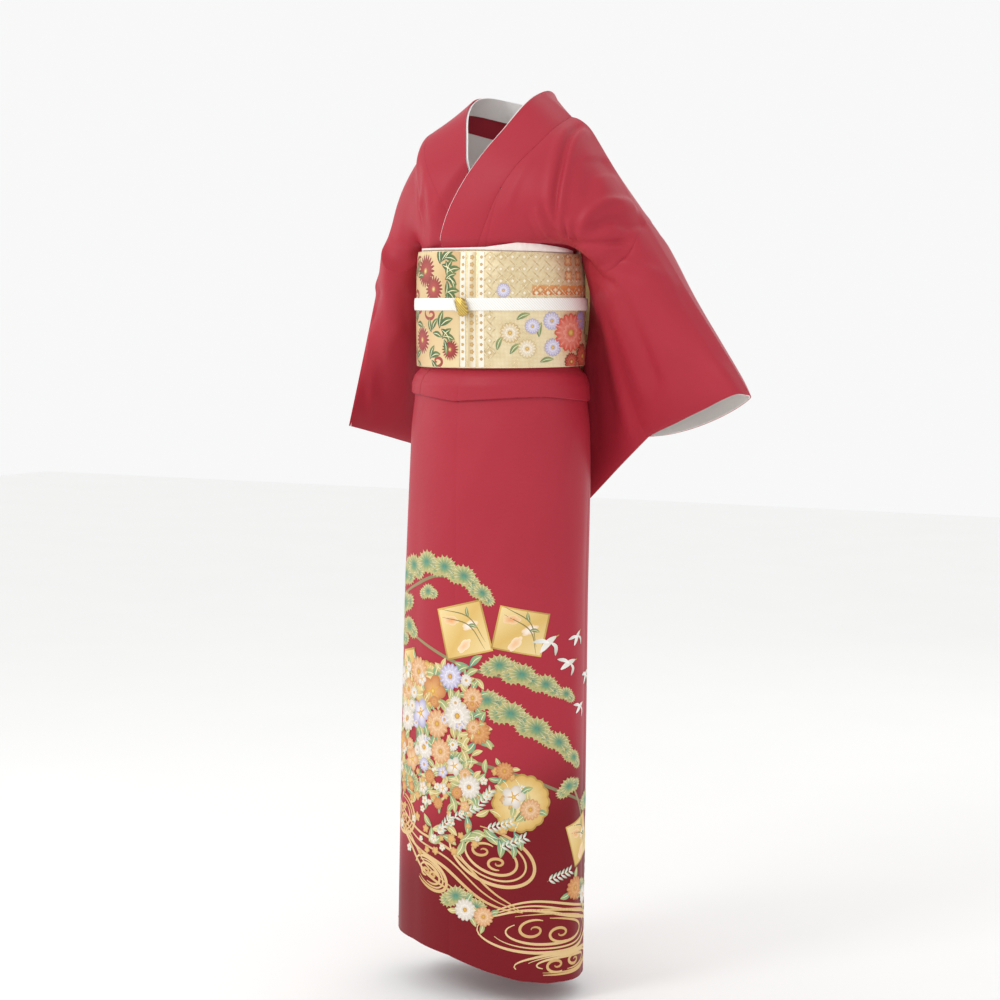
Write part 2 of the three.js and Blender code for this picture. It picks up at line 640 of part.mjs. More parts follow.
function rightCollar(surface) {
  const band = collarBand(RIGHT, surface).map((row) => row.map(sunk));
  const angleAt = (share) => UNDER_COLLAR_SEAM + UNDER_COLLAR_TURN * share;
  return [...band, ...tuckPoints(2, angleAt, () => UNDER_LAP, 1)];
}

// The white under-collar: the inner half of the collar moved inwards, and past its free edge.
function underCollar(collar, rowCount) {
  const past = 3;
  const depth = (COLLAR_SILK + WHITE_SILK) / 2 + 0.9;
  const points = collar.points.slice(0, rowCount).map((row, i) => {
    const moved = row.slice(1).map((point, j) => plus(point, collar.directions[i][j + 1], -depth));
    const out = unit(minus(moved.at(-1), moved.at(-2)));
    return [...moved, plus(moved.at(-1), out, past)];
  });
  const directions = collar.directions.slice(0, rowCount).map((row) => [...row.slice(1), row.at(-1)]);
  return { points, directions };
}

// ------------------------------------------------------------ sleeves
const sleeveRows = CHEST_ROWS + FREE_EDGE_ROWS;
const armpitShare = 0.45;
const cuffShare = 0.47;

// Shares of the sleeve's depth, row by row: the first rows are those of the bodice seam.
const sleeveShares = spread(sleeveRows).map((_, i) => (i <= CHEST_ROWS
  ? (armpitShare * i) / CHEST_ROWS
  : armpitShare + ((1 - armpitShare) * (i - CHEST_ROWS)) / FREE_EDGE_ROWS));

function sleeveSurface(body, frontOrBack) {
  const front = frontOrBack > 0;
  const seam = sleeveSeam(body, front ? body.frontSeam : body.backSeam, frontOrBack);
  const free = lineThrough([armpit(body, frontOrBack), ...(front ? body.frontFree : body.backFree)]);
  const cuff = lineThrough(front ? body.cuffFront : body.cuffBack);
  const openEnd = sleeveShares[CUFF_OPEN_ROWS];
  const flat = stretched(
    lineThrough(body.arm),
    lineThrough(body.bottom),
    joined(seam, free, armpitShare),
    joined(cuff, lineThrough(body.cuffSewn), openEnd),
  );
  const hump = (share) => 1 - (2 * share - 1) ** 10;
  const level = unit(cross(minus(flat(0.5, 1), flat(0.5, 0)), minus(flat(1, 0.5), flat(0, 0.5))));
  const outward = level[1] * frontOrBack > 0 ? -1 : 1;
  const halfApart = (SILK + SEAM_GAP) / 2;
  return (u, v) => {
    const free = Math.max(smoothStep(0, 0.1, u), smoothStep(armpitShare, 1, v));
    const apart = halfApart * free * smoothStep(0, 0.15, v);
    return plus(flat(u, v), level, outward * (apart + body.sleeveFull * hump(u) * hump(v)));
  };
}

function sleevePoints(surface) {
  return sleeveShares.map((v) => spread(SLEEVE_COLUMNS).map((u) => surface(u, v)));
}

// The white lining inside the open cuff: the last columns of both sleeve halves, moved in.
function cuffLining(front, back) {
  const depth = (SILK + WHITE_SILK) / 2 + 0.4;
  const columns = 3;
  const strip = (half) => half.points.slice(0, CUFF_OPEN_ROWS).map((row, i) => row.slice(-columns)
    .map((point, j) => plus(point, half.directions[i][row.length - columns + j], -depth)));
  const ways = (half) => half.directions.slice(0, CUFF_OPEN_ROWS).map((row) => row.slice(-columns));
  return {
    points: [...strip(front).reverse(), ...strip(back).slice(1)],
    directions: [...ways(front).reverse(), ...ways(back).slice(1)],
  };
}

// ------------------------------------------------------------ skirt
const skirtHeights = [-372, -396, -400, -407, -420, -446, -485, -560, -740, -1000];

// A skirt panel between two angles; `lap` gives how deep it lies below the outer layer.
function skirtPanel(columns, angleAt, hem = hemHeight, lap = () => 0) {
  const rows = [...skirtHeights, null];
  return rows.map((height) => spread(columns).map((share) => {
    const angle = angleAt(share, height ?? -1345);
    const z = height ?? hem(angle);
    return onRing(SKIRT_RINGS, angle, z, lap(angle));
  }));
}

const skirtLap = (angle) => UNDER_SKIRT_LAP * smoothStep(176, 200, angle);
const acrossAngles = (from, to) => (share) => from + (to - from) * share;

function skirtPieces() {
  const frontSeam = (z) => angleOn(OVERLAP_SEAM, z) + 2.5 * smoothStep(-446, -700, z);
  const leftFrontAngle = (share, z) => frontSeam(z) + (SIDE_SEAM - frontSeam(z)) * share;
  const leftOverlapAngle = (share, z) => FRONT_EDGE + (frontSeam(z) - FRONT_EDGE) * share;
  const rightSide = mirrored(SIDE_SEAM);
  return {
    skirt_back_left: skirtPanel(8, acrossAngles(SIDE_SEAM, 90)),
    skirt_back_right: skirtPanel(8, acrossAngles(90, rightSide)),
    skirt_front_left: skirtPanel(SHOULDER_COLUMNS, leftFrontAngle),
    skirt_overlap_left: skirtPanel(6, leftOverlapAngle),
    skirt_front_right: skirtPanel(
      10, acrossAngles(rightSide, UNDER_OVERLAP_SEAM), underHemHeight, skirtLap),
    skirt_overlap_right: skirtPanel(
      6, acrossAngles(UNDER_OVERLAP_SEAM, UNDER_EDGE + 360), underHemHeight, skirtLap),
  };
}

// ------------------------------------------------------------ sash set
const SASH_STEP = 9;           // degrees between the sash's columns
const SASH_START = 100;        // degrees, hidden start of the inner turn at the back
const SASH_STEPS = 74;
const sashTop = (angle) => -219 + 3.5 * Math.cos(radians(angle + 130));
const sashBottom = (angle) => -392 - 2 * Math.cos(radians(angle + 110));

// A strip round the body on the sash rings: `insetAt` is its depth below the sash's face.
function sashStrip(angles, shares, heightAt, insetAt, thickness) {
  const points = shares.map((share) => angles.map((angle) => {
    const z = heightAt(angle, share);
    return onRing(SASH_RINGS, angle, z, insetAt(angle, share));
  }));
  return wall(withDirections(points, [0, 0, -300]), thickness);
}

// Two turns of the folded sash: the inner one rises to the outer one behind the drum knot.
function sashWrap() {
  const angles = spread(SASH_STEPS).map((share) => SASH_START + share * SASH_STEPS * SASH_STEP);
  const inset = (angle) => BROCADE / 2 + 0.1 + (BROCADE + 0.4) * smoothStep(450, 400, angle);
  const height = (angle, share) => sashTop(angle) + (sashBottom(angle) - sashTop(angle)) * share;
  return sashStrip(angles, spread(3), height, inset, BROCADE);
}

// A sheet that carries a profile of [y, z] rows straight across the back.
function acrossBack(profile, halfWidth, columns, thickness) {
  const line = lineThrough(profile.map(([y, z]) => [0, y, z]));
  const rows = profile.length * 2 - 2;
  const points = spread(rows).map((share) => spread(columns).map((part) => {
    const [, y, z] = line(share);
    return [halfWidth * (2 * part - 1), y, z];
  }));
  return wall(withDirections(points, [0, 150, -300]), thickness);
}

const DRUM_HALF_WIDTH = 145;
const TAIL_HALF_WIDTH = 140;
const DRUM_PROFILE = [
  [107.5, -240], [116, -222], [125, -206], [132, -191], [150, -182], [180, -186], [201, -206],
  [208, -250], [209, -320], [204, -374], [186, -402], [156, -411], [128, -407], [117, -390],
  [115.5, -318],
];
const TAIL_PROFILE = [[109.2, -300], [109.2, -385], [112.6, -404], [113, -430]];

const sashDrum = () => acrossBack(DRUM_PROFILE, DRUM_HALF_WIDTH, 3, BROCADE);
const sashTail = () => acrossBack(TAIL_PROFILE, TAIL_HALF_WIDTH, 3, BROCADE);

// The folded hand end, held flat on the wrap inside the drum.
function sashHand() {
  const angles = spread(12).map((share) => 36 + share * 108);
  const height = (_, share) => -246 - 138 * share;
  return sashStrip(angles, spread(2), height, () => -BROCADE / 2 - 0.4, BROCADE);
}

// The flat cord round the sash; its two ends meet below the knot.
const CORD_HEIGHT = 18.5;
const CORD_MIDDLE = -297;
const KNOT_ANGLE = -94;
function sashCord() {
  const turn = 352;
  const angles = spread(44).map((share) => KNOT_ANGLE + 4 + share * turn);
  const overHand = (angle) => (BROCADE + 0.8) * smoothStep(18, 34, angle) * smoothStep(162, 146, angle);
  const height = (_, share) => CORD_MIDDLE + CORD_HEIGHT * (0.5 - share);
  return sashStrip(angles, spread(1), height, (angle) => -BRAID / 2 - 0.5 - overHand(angle), BRAID);
}

// A small flat piece of the knot: an outline of [x, z] rows on the front of the cord.
function knotPiece(outline, front, depth) {
  const shape = new THREE.Shape(outline.map(([x, z]) => new THREE.Vector2(x, z)));
  const bevel = 1.2;
  const geometry = new THREE.ExtrudeGeometry(shape, {
    depth: depth - 2 * bevel,
    bevelEnabled: true,
    bevelThickness: bevel,
    bevelSize: bevel,
    bevelSegments: 2,
  });
  geometry.rotateX(Math.PI / 2);
  geometry.translate(0, front + depth - bevel, 0);
  return geometry;
}

const KNOT_FRONT = -115;
const KNOT_OUTLINE = [[-13, -286], [0, -289], [8, -311], [-5, -314]];
const LOOP_OUTLINE = [[-30, -289], [-16, -290], [-10, -309.5], [-17, -305], [-26, -300]];
const knotWrap = () => knotPiece(KNOT_OUTLINE, KNOT_FRONT, 8.5);
const knotLoop = () => knotPiece(LOOP_OUTLINE, KNOT_FRONT + 2, 6);

// The scarf along the top of the sash in front: tucked in below, rolled outwards above.
const SCARF_HEIGHTS = [
  { angle: -150, z: -212.5 },
  { angle: -140, z: -211 },
  { angle: -100, z: -211.5 },
  { angle: -78, z: -211 },
  { angle: -56, z: -204.5 },
  { angle: -40, z: -206.5 },
  { angle: -20, z: -212 },
  { angle: -3, z: -216 },
];
function scarfFront() {
  const angles = spread(22).map((share) => -150 + share * 147);
  const profile = [
    { from: "sash", up: -18, out: 0 },
    { from: "sash", up: 0.4, out: 0 },
    { from: "sash", up: 1.8, out: 4.2 },
    { from: "top", up: 0, out: 4.6 },
    { from: "top", up: -0.4, out: 3.2 },
  ];
  const tucked = BROCADE * 2 + 2.1;
  const points = profile.map(({ from, up, out }) => angles.map((angle) => {
    const top = readTable(SCARF_HEIGHTS, "angle", angle).z;
    const puff = smoothStep(-150, -138, angle) * smoothStep(-3, -22, angle);
    const z = (from === "top" ? top : sashTop(angle)) + up;
    return onRing(SASH_RINGS, angle, z, tucked - out * puff);
  }));
  return wall(withDirections(points, [0, 0, -300]), CREPE);
}

// The scarf's back part, over the pad that carries the drum.
function scarfBack() {
  const profile = [
    [107, -214], [107.5, -200], [111, -190.5], [116, -188], [120, -191], [121, -197],
  ];
  const halfWidth = 118;
  const line = lineThrough(profile.map(([y, z]) => [0, y, z]));
  const points = spread(6).map((share) => spread(10).map((part) => {
    const [, y, z] = line(share);
    const x = halfWidth * (2 * part - 1);
    const drop = 8 * (x / halfWidth) ** 2;
    return [x, y, z - drop];
  }));
  return wall(withDirections(points, [0, 130, -230]), CREPE);
}

// ------------------------------------------------------------ the whole garment
function bodiceAndSleeves() {
  const insideTrunk = [0, 0, WAIST_TOP * 2];
  const leftChest = frontSurface(LEFT);
  const rightChest = frontSurface(RIGHT);
  const piece = {};
  const add = (name, points, inside) => {
    piece[name] = withDirections(points, inside);
  };
  add("front_left", leftFront(leftChest), insideTrunk);
  add("overlap_left", leftOverlap(leftChest), insideTrunk);
  add("front_right", rightFront(rightChest), insideTrunk);
  add("back_left", backPanel(LEFT, backSurface(LEFT)), insideTrunk);
  add("back_right", backPanel(RIGHT, backSurface(RIGHT)), insideTrunk);
  add("collar_left", leftCollar(leftChest), insideTrunk);
  add("collar_right", rightCollar(rightChest), insideTrunk);
  for (const [side, body] of [["left", LEFT], ["right", RIGHT]]) {
    const [front, back] = [1, -1].map((half) => sleevePoints(sleeveSurface(body, half)));
    const middle = between(centreOf(front), centreOf(back), 0.5);
    add(`sleeve_${side}_front`, front, middle);
    add(`sleeve_${side}_back`, back, middle);
  }
  shareSeams(Object.values(piece));
  const fronts = ["front_left", "front_right", "overlap_left"];
  const sleeveFronts = ["sleeve_left_front", "sleeve_right_front"];
  for (const name of [...fronts, ...sleeveFronts]) fold(piece[name], FRONT_FOLDS);

  const group = new THREE.Group();
  for (const [name, grid] of Object.entries(piece)) {
    const thickness = name.startsWith("collar") ? COLLAR_SILK : SILK;
    const keep = name === "front_right" ? rightFrontKeeps : undefined;
    group.add(named(name, wall(grid, thickness, keep), crimsonSilk()));
  }
  const neckRows = NAPE_COLUMNS + CHEST_ROWS + 2;
  for (const side of ["left", "right"]) {
    const under = underCollar(piece[`collar_${side}`], neckRows);
    group.add(named(`under_collar_${side}`, wall(under, WHITE_SILK), whiteSilk()));
    const lining = cuffLining(piece[`sleeve_${side}_front`], piece[`sleeve_${side}_back`]);
    group.add(named(`cuff_lining_${side}`, wall(lining, WHITE_SILK), whiteSilk()));
  }
  return group;
}

function skirt() {
  const group = new THREE.Group();
  const pieces = {};
  for (const [name, points] of Object.entries(skirtPieces())) {
    pieces[name] = withDirections(points, [0, 0, -800]);
  }
  shareSeams(Object.values(pieces));
  for (const [name, grid] of Object.entries(pieces)) {
    group.add(named(name, wall(grid, SILK), crimsonSilk()));
  }
  return group;
}

function sash() {
  const group = new THREE.Group();
  group.add(named("sash_wrap", sashWrap(), goldBrocade()));
  group.add(named("sash_drum", sashDrum(), goldBrocade()));
  group.add(named("sash_tail", sashTail(), goldBrocade()));
  group.add(named("sash_hand", sashHand(), goldBrocade()));
  group.add(named("sash_cord", sashCord(), whiteBraid()));
  group.add(named("cord_knot", knotWrap(), goldBraid()));
  group.add(named("cord_loop", knotLoop(), whiteBraid()));
  group.add(named("scarf_front", scarfFront(), paleCrepe()));
  group.add(named("scarf_back", scarfBack(), paleCrepe()));
  return group;
}

const kimono = new THREE.Group();
kimono.name = "tomesode_kimono";
kimono.add(bodiceAndSleeves());
kimono.add(skirt());
kimono.add(sash());

export default kimono;
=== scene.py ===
"""A tomesode kimono with its tied sash, in the hollow form it has when worn.

Every cloth piece is a thin shell on a surface of two parameters, in millimetres here and in
metres in its mesh. The hem painting and the brocade's figures are thin coloured layers on
the same surfaces. +Z is up, -Y the front and +X the wearer's left.
"""
import math

import bpy
import numpy as np
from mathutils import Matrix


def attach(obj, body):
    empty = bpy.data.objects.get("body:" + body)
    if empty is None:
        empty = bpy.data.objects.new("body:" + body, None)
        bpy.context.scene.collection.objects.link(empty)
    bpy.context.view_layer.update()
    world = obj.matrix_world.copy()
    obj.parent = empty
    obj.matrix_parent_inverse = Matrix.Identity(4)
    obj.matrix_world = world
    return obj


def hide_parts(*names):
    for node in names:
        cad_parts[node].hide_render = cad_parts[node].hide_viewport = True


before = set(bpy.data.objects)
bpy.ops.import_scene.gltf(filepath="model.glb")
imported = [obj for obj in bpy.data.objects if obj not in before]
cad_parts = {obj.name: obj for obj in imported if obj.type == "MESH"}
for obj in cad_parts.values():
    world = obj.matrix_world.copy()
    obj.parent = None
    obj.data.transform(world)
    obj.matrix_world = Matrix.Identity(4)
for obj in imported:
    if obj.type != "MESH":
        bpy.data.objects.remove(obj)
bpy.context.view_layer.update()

# ------------------------------------------------------------ sizes of the garment
SILK, COLLAR_SILK, WHITE_SILK = 1.4, 2.0, 1.0    # cloth thickness, mm
BROCADE, CREPE, BRAID = 2.0, 1.2, 2.4
SEAM_GAP, DRAWN_GAP, GROOVE = 0.3, 0.075, 2.6   # between solids, between shells, half width
SIDE_SEAM, ARMPIT_HALF_GAP = 12, 3               # degrees from +X
WAIST_TOP, SASH_FOOT, TUCK_SWELL_END, TUCK_LEVEL = -206, -396, -420, -436
SKIRT_TOP, SKIRT_FREE = -372, -446               # the skirt inside the tuck, and below it
TUCK_RETURN = 2.4                                # how far inside the tuck's cloth comes back up
UNDER_LAP, UNDER_TUCK_LAP, UNDER_SKIRT_LAP = 6.5, 2.6, 2.8   # the right front below the left
FRONT_EDGE, UNDER_EDGE = -151, -30               # angles of the skirt's two free edges
FINE, SLEEVE_FINE = 8, 10                        # fine cells to one main cell of the pattern
COLLAR_CELLS, CUFF_LINING_CELLS = 14, 16         # across the collar and the cuff's lining
UNDER_TUCK_COLUMNS = 4                           # where the right front's tuck is built
CHEST_ROWS, SHOULDER_COLUMNS, NAPE_COLUMNS = 9, 9, 3
OVERLAP_TOP, OVERLAP_TIP = 6 / CHEST_ROWS, 0.006
SLEEVE_COLUMNS, FREE_ROWS, CUFF_OPEN_ROWS = 9, 7, 8
ARMPIT_SHARE = 0.45
STRAIGHT_ROWS, SWELL_ROWS, FALL_ROWS, TURN_ROWS, BACK_ROWS = 14, 8, 6, 9, 10   # of the tuck
TUCK_FOLD_ROW = STRAIGHT_ROWS + SWELL_ROWS + FALL_ROWS + TURN_ROWS // 2 + 1
FOLD_GAIN = 1.5                                  # all folds and waves raised by this much

# Outlines round the body: height, half width, half depth, centre x, centre y.
BODY_RINGS = [[-206, 131.5, 92, 0, 0], [-216, 128.4, 89, 0, 0], [-300, 132.8, 92.3, 0, 0],
              [-396, 132, 91.5, 0, 0], [-400, 135, 94.5, 0, 0], [-407, 142, 101.5, 0, 0],
              [-420, 146.5, 106.5, 0, 0], [-446, 147.5, 107.5, 0, 0]]
SKIRT_RINGS = [[-372, 126.8, 86.3, 0, 0], [-396, 126.8, 86.3, 0, 0], [-400, 129.8, 89.3, 0, 0],
               [-407, 136.8, 96.3, 0, 0], [-420, 141.3, 101.3, 0, 0], [-446, 143, 103, 0, 0],
               [-485, 147.5, 108.5, 0, 0], [-560, 149.5, 112, -0.5, -1],
               [-740, 151.5, 113, -3, -8], [-1000, 154.5, 113, -5, -14],
               [-1345, 157, 112, -8, -20]]
SASH_RINGS = [[-212, 137, 97.3, 0, 0], [-250, 140, 99.8, 0, 0], [-300, 141, 100.5, 0, 0],
              [-396, 140.2, 99.8, 0, 0]]
# Heights by the angle from +X, and seam angles by height.
HEM = [[-152, -1287], [-122, -1291], [-94, -1301], [-70, -1319], [-50, -1332], [-30, -1339],
       [12, -1341], [110, -1338], [168, -1308]]
UNDER_HEM = [[168, -1308], [200, -1284], [250, -1286], [330, -1312]]
TUCK = [[-158, -434], [-130, -436], [-98, -444], [-58, -437.5], [-38, -436], [8, -445],
        [90, -441], [202, -434]]
COLLAR_EDGE = [[-206, -114.5], [-395, -152], [-446, -157.6]]
COLLAR_SEAM = [[-206, -83.7], [-395, -128], [-446, -132]]
OVERLAP_SEAM = [[-206, -77.3], [-395, -94], [-446, -95.5]]
UNDER_COLLAR_SEAM, UNDER_COLLAR_TURN = 263.7, 30.8
UNDER_TUCK_END, UNDER_OVERLAP_SEAM = 206, 266

# Named lines of the bodice and sleeves.
LEFT = {
    "side": 1,
    "shoulder": [[114, 20, -11.5], [130, 19, -17], [148, 18, -31], [166, 17, -56],
                 [176, 16, -71], [210, 14, -121], [245, 12, -172]],
    "arm": [[245, 12, -172], [280, 9.5, -223], [323, 7, -286], [374, 3.5, -357],
            [407, 1, -403.5], [424, 0, -430]],
    "nape_seam": [[0, 128, -42], [55, 112, -38], [100, 60, -20], [114, 20, -11.5]],
    "collar_seam": [[114, 20, -11.5], [113.5, -30, -31], [103, -62, -56], [76, -90, -94],
                    [49, -99, -138], [24, -98, -190], [14.4, -91.4, -206]],
    "collar_edge": [[0, 112, 12], [44, 95, 24], [58, 55, 32], [61, 15, 25], [60.5, -28, 6],
                    [41.5, -60, -33], [19, -84, -70], [-7, -97, -111], [-31, -101, -154],
                    [-49, -95, -192], [-54.5, -83.7, -206]],
    "front_seam": [[245, 12, -172], [250, -26, -200], [232, -42, -236], [196, -34, -248],
                   [160, -8, -226]],
    "back_seam": [[245, 12, -172], [258, 46, -200], [244, 72, -234], [205, 80, -246],
                  [166, 54, -219]],
    "front_free": [[134, 42, -240], [128, 61, -268], [122, 72, -305], [114, 80, -365],
                   [98, 94, -432], [30, 132, -478]],
    "back_free": [[140, 54, -240], [140, 73, -268], [135, 85, -305], [125, 91, -365],
                  [108, 101, -430], [30, 132, -478]],
    "cuff_front": [[424, 0, -430], [413, -22, -428], [388, -20, -437], [357, -6, -450],
                   [326, 8, -462], [294, 23, -475], [261, 38, -487.5], [230.5, 55, -500]],
    "cuff_back": [[424, 0, -430], [414, 22, -436], [392, 33, -449], [362, 40, -464],
                  [330, 47, -477], [296, 53, -488], [262, 58, -496], [230.5, 55, -500]],
    "cuff_sewn": [[230.5, 55, -500], [170, 82, -547], [108, 110, -597], [58, 140, -632],
                  [10, 165, -655]],
    "bottom": [[30, 132, -478], [20, 146, -540], [12, 158, -600], [10, 165, -655]],
    "chest_full": 10,
    "sleeve_full": 7,
}
RIGHT = {
    "side": -1,
    "shoulder": [[-108, 18, -20], [-120, 14.5, -27], [-139, 12.5, -51], [-164, 10.5, -81],
                 [-187, 8, -122], [-200, 7, -164], [-209, 6, -193]],
    "arm": [[-209, 6, -193], [-226, 5, -253], [-254, 3, -370], [-284, 0, -494]],
    "nape_seam": [[0, 128, -42], [-54, 112, -39], [-96, 60, -25], [-108, 18, -20]],
    "collar_seam": [[-108, 18, -20], [-109, -28, -34], [-100, -60, -60], [-75, -88, -97],
                    [-49, -97, -139], [-24, -97, -190], [-14.4, -91.4, -206]],
    "collar_edge": [[0, 112, 12], [-43, 95, 22], [-58, 55, 26], [-60.8, 20, 18],
                    [-46, -25, -8], [-26, -60, -48], [-13.5, -80, -82], [0, -92, -118],
                    [26, -97, -164], [54.5, -83.7, -206]],
    "front_seam": [[-209, 6, -193], [-202, -26, -214], [-184, -42, -240], [-160, -30, -246],
                   [-146, -4, -228]],
    "back_seam": [[-209, 6, -193], [-220, 38, -214], [-214, 66, -238], [-190, 72, -246],
                  [-158, 52, -222]],
    "front_free": [[-138, 38, -246], [-142, 72, -284], [-149, 112, -328], [-152, 158, -388],
                   [-152, 200, -465]],
    "back_free": [[-143, 52, -246], [-160, 84, -280], [-170, 124, -324], [-170, 166, -386],
                  [-152, 200, -465]],
    "cuff_front": [[-284, 0, -494], [-279, 44, -503], [-268, 78, -512], [-256, 108, -521],
                   [-243, 134, -530], [-232, 158, -545]],
    "cuff_back": [[-284, 0, -494], [-292, 52, -499], [-286, 92, -507], [-272, 124, -517],
                  [-254, 147, -529], [-232, 158, -545]],
    "cuff_sewn": [[-232, 158, -545], [-220, 176, -620], [-206, 188, -700], [-200, 192, -770]],
    "bottom": [[-152, 200, -465], [-158, 208, -570], [-172, 204, -680], [-200, 192, -770]],
    "crease": [[-139, 12.5, -51], [-146, -12, -89], [-126, -42, -138], [-112, -54, -172],
               [-104, -56, -206]],
    "crease_at": [0.22, 0.5],
    "chest_full": 3,
    "sleeve_full": 7,
}

# Folds of the bodice and sleeves: a line of points, half width, height (a trough below zero).
FRONT_FOLDS = [
    ([[134, 8, -16], [142, -40, -45], [147, -66, -90], [147, -80, -140], [146, -84, -196]],
     5.2, -3.6),
    ([[141, 6, -20], [150, -40, -55], [155, -62, -100], [155, -72, -150], [153, -78, -196]],
     6, 3.6),
    ([[128, 8, -18], [132, -50, -60], [136, -74, -110], [136, -84, -190]], 7, 1.4),
    ([[174, 10, -74], [184, -20, -100], [190, -36, -150]], 9, -2.6),
    ([[190, 8, -100], [203, -10, -130], [208, -24, -160]], 7, 2.2),
    ([[240, 0, -168], [222, -24, -146], [204, -38, -150], [190, -50, -168], [176, -60, -200]],
     7, 4.4),
    ([[248, -16, -190], [226, -36, -172], [206, -44, -180], [190, -52, -196]], 8, -5.0),
    ([[150, -60, -210], [190, -48, -214], [250, -40, -206]], 9, -6.5),
    ([[160, -50, -226], [200, -44, -238], [240, -36, -236], [300, -26, -262]], 8, 3.4),
    ([[158, -45, -236], [200, -34, -262], [235, -30, -272]], 9, -5),
    ([[124, -84, -140], [132, -84, -170], [141, -82, -202]], 4, -2.0),
    ([[116, -84, -150], [122, -84, -176], [128, -84, -204]], 4.5, 1.5),
    ([[158, -60, -160], [157, -66, -180], [155, -70, -205]], 3.6, -3.0),
    ([[168, -56, -168], [164, -60, -186], [161, -64, -205]], 3.8, 2.8),
    ([[176, -50, -178], [171, -54, -192], [167, -60, -206]], 3.2, -2.2),
    ([[100, -88, -160], [106, -88, -184], [110, -88, -204]], 4, -1.0),
    ([[100, -70, -70], [84, -90, -110], [66, -98, -170]], 9, 1.2),
    ([[-126, -20, -49], [-121, -45, -100], [-108, -60, -150], [-98, -66, -200]], 5, -2.6),
    ([[-112, -20, -44], [-106, -60, -95], [-98, -70, -140], [-96, -74, -196]], 6, 2.2),
    ([[-84, -66, -70], [-84, -76, -108], [-96, -74, -140], [-104, -66, -168]], 5, 1.8),
    ([[-76, -46, -52], [-72, -82, -120], [-78, -82, -190]], 9, 2.0),
    ([[-204, -6, -196], [-205, 12, -226], [-206, 26, -256], [-208, 32, -286]], 4.5, 3.2),
    ([[-206, -20, -214], [-206, -4, -240], [-207, 12, -268]], 5, -2.6),
    ([[-214, -22, -244], [-215, 6, -280], [-218, 32, -318], [-224, 56, -380]], 5, 3.0),
    ([[-214, -26, -262], [-216, -4, -304], [-222, 26, -350]], 7, -2.4),
    ([[-196, 10, -300], [-196, 60, -360], [-196, 120, -450]], 10, -2.2),
    ([[-224, 0, -320], [-236, 14, -400], [-250, 40, -490]], 9, 2.4),
    ([[-206, 30, -330], [-214, 66, -400], [-226, 110, -505]], 8, -2.0),
    ([[250, -20, -240], [292, -8, -310], [330, 10, -400]], 22, 3.0),
    ([[224, -20, -262], [250, 0, -340], [280, 20, -440]], 14, -2.4),
    ([[200, 0, -290], [220, 20, -370], [250, 40, -460]], 15, 2.6),
    ([[150, 40, -300], [156, 60, -400], [170, 90, -500]], 14, -2.6),
    ([[300, -16, -260], [350, -14, -330], [396, -12, -400]], 14, -2.2),
    ([[120, 70, -340], [112, 90, -450], [110, 110, -560]], 12, 2.0),
    ([[176, 20, -300], [188, 44, -400], [200, 70, -520]], 12, 2.2),
]
BACK_FOLDS = [
    ([[60, 110, -60], [92, 104, -130], [120, 80, -200]], 12, 2.2),
    ([[-60, 110, -60], [-90, 104, -130], [-116, 80, -200]], 12, 2.2),
    ([[30, 124, -80], [44, 116, -140], [60, 104, -200]], 10, -1.8),
    ([[-30, 124, -80], [-44, 116, -140], [-60, 104, -200]], 10, -1.8),
    ([[150, 60, -200], [200, 62, -176], [244, 50, -176]], 8, 4.0),
    ([[150, 70, -216], [196, 74, -198], [244, 64, -200]], 8, -3.4),
    ([[-144, 60, -206], [-180, 62, -188], [-206, 50, -190]], 8, 3.2),
    ([[170, 80, -240], [200, 76, -262], [236, 70, -300]], 10, -3.0),
    ([[250, 50, -230], [292, 48, -310], [340, 50, -400]], 18, 3.0),
    ([[180, 80, -290], [196, 80, -380], [220, 80, -470]], 15, -2.8),
    ([[230, 60, -280], [262, 60, -360], [290, 60, -450]], 13, -2.2),
    ([[120, 90, -330], [118, 110, -440], [120, 130, -560]], 13, 2.4),
    ([[-214, 70, -260], [-230, 84, -350], [-246, 100, -470]], 12, 2.8),
    ([[-206, 100, -310], [-212, 130, -420], [-222, 160, -540]], 12, -2.4),
    ([[-222, 56, -230], [-240, 62, -310], [-262, 76, -420]], 9, -2.2),
    ([[-190, 176, -460], [-196, 184, -580], [-204, 186, -700]], 10, 2.0),
]
# Soft waves of the skirt: angle and height of both ends, half width in degrees, height in mm.
SKIRT_WAVES = [
    (-146, -470, -140, -1290, 7, 0.9), (-128, -520, -122, -1295, 6, -0.7),
    (-60, -450, -100, -640, 9, 0.8), (-34, -452, -84, -720, 9, -0.9),
    (-10, -460, -64, -800, 9, 0.8), (-70, -760, -56, -1320, 9, 0.9),
    (-38, -700, -30, -1335, 9, -1.2), (-12, -640, -8, -1335, 8, 1.4),
    (10, -500, 12, -1338, 7, -1.2), (34, -470, 40, -1336, 9, 1.4),
    (64, -470, 68, -1336, 9, -1.3), (92, -470, 96, -1336, 8, 1.2),
    (118, -470, 120, -1330, 9, -1.2), (144, -470, 148, -1320, 9, 1.1),
]


# ------------------------------------------------------------ lines and surfaces
def smooth_step(low, high, value):
    """0 below `low`, 1 above `high`, and between them three squares less two cubes."""
    share = np.clip((value - low) / (high - low), 0, 1)
    return share * share * (3 - 2 * share)


def read(rows, value, column=1):
    """Straight-line reading of a column of a table by its first column."""
    table = np.array(rows, float)
    table = table[np.argsort(table[:, 0])]
    return np.interp(value, table[:, 0], table[:, column])


def length_of(vectors):
    return np.linalg.norm(vectors, axis=-1, keepdims=True)


def unit(vectors):
    return vectors / np.maximum(length_of(vectors), 1e-9)


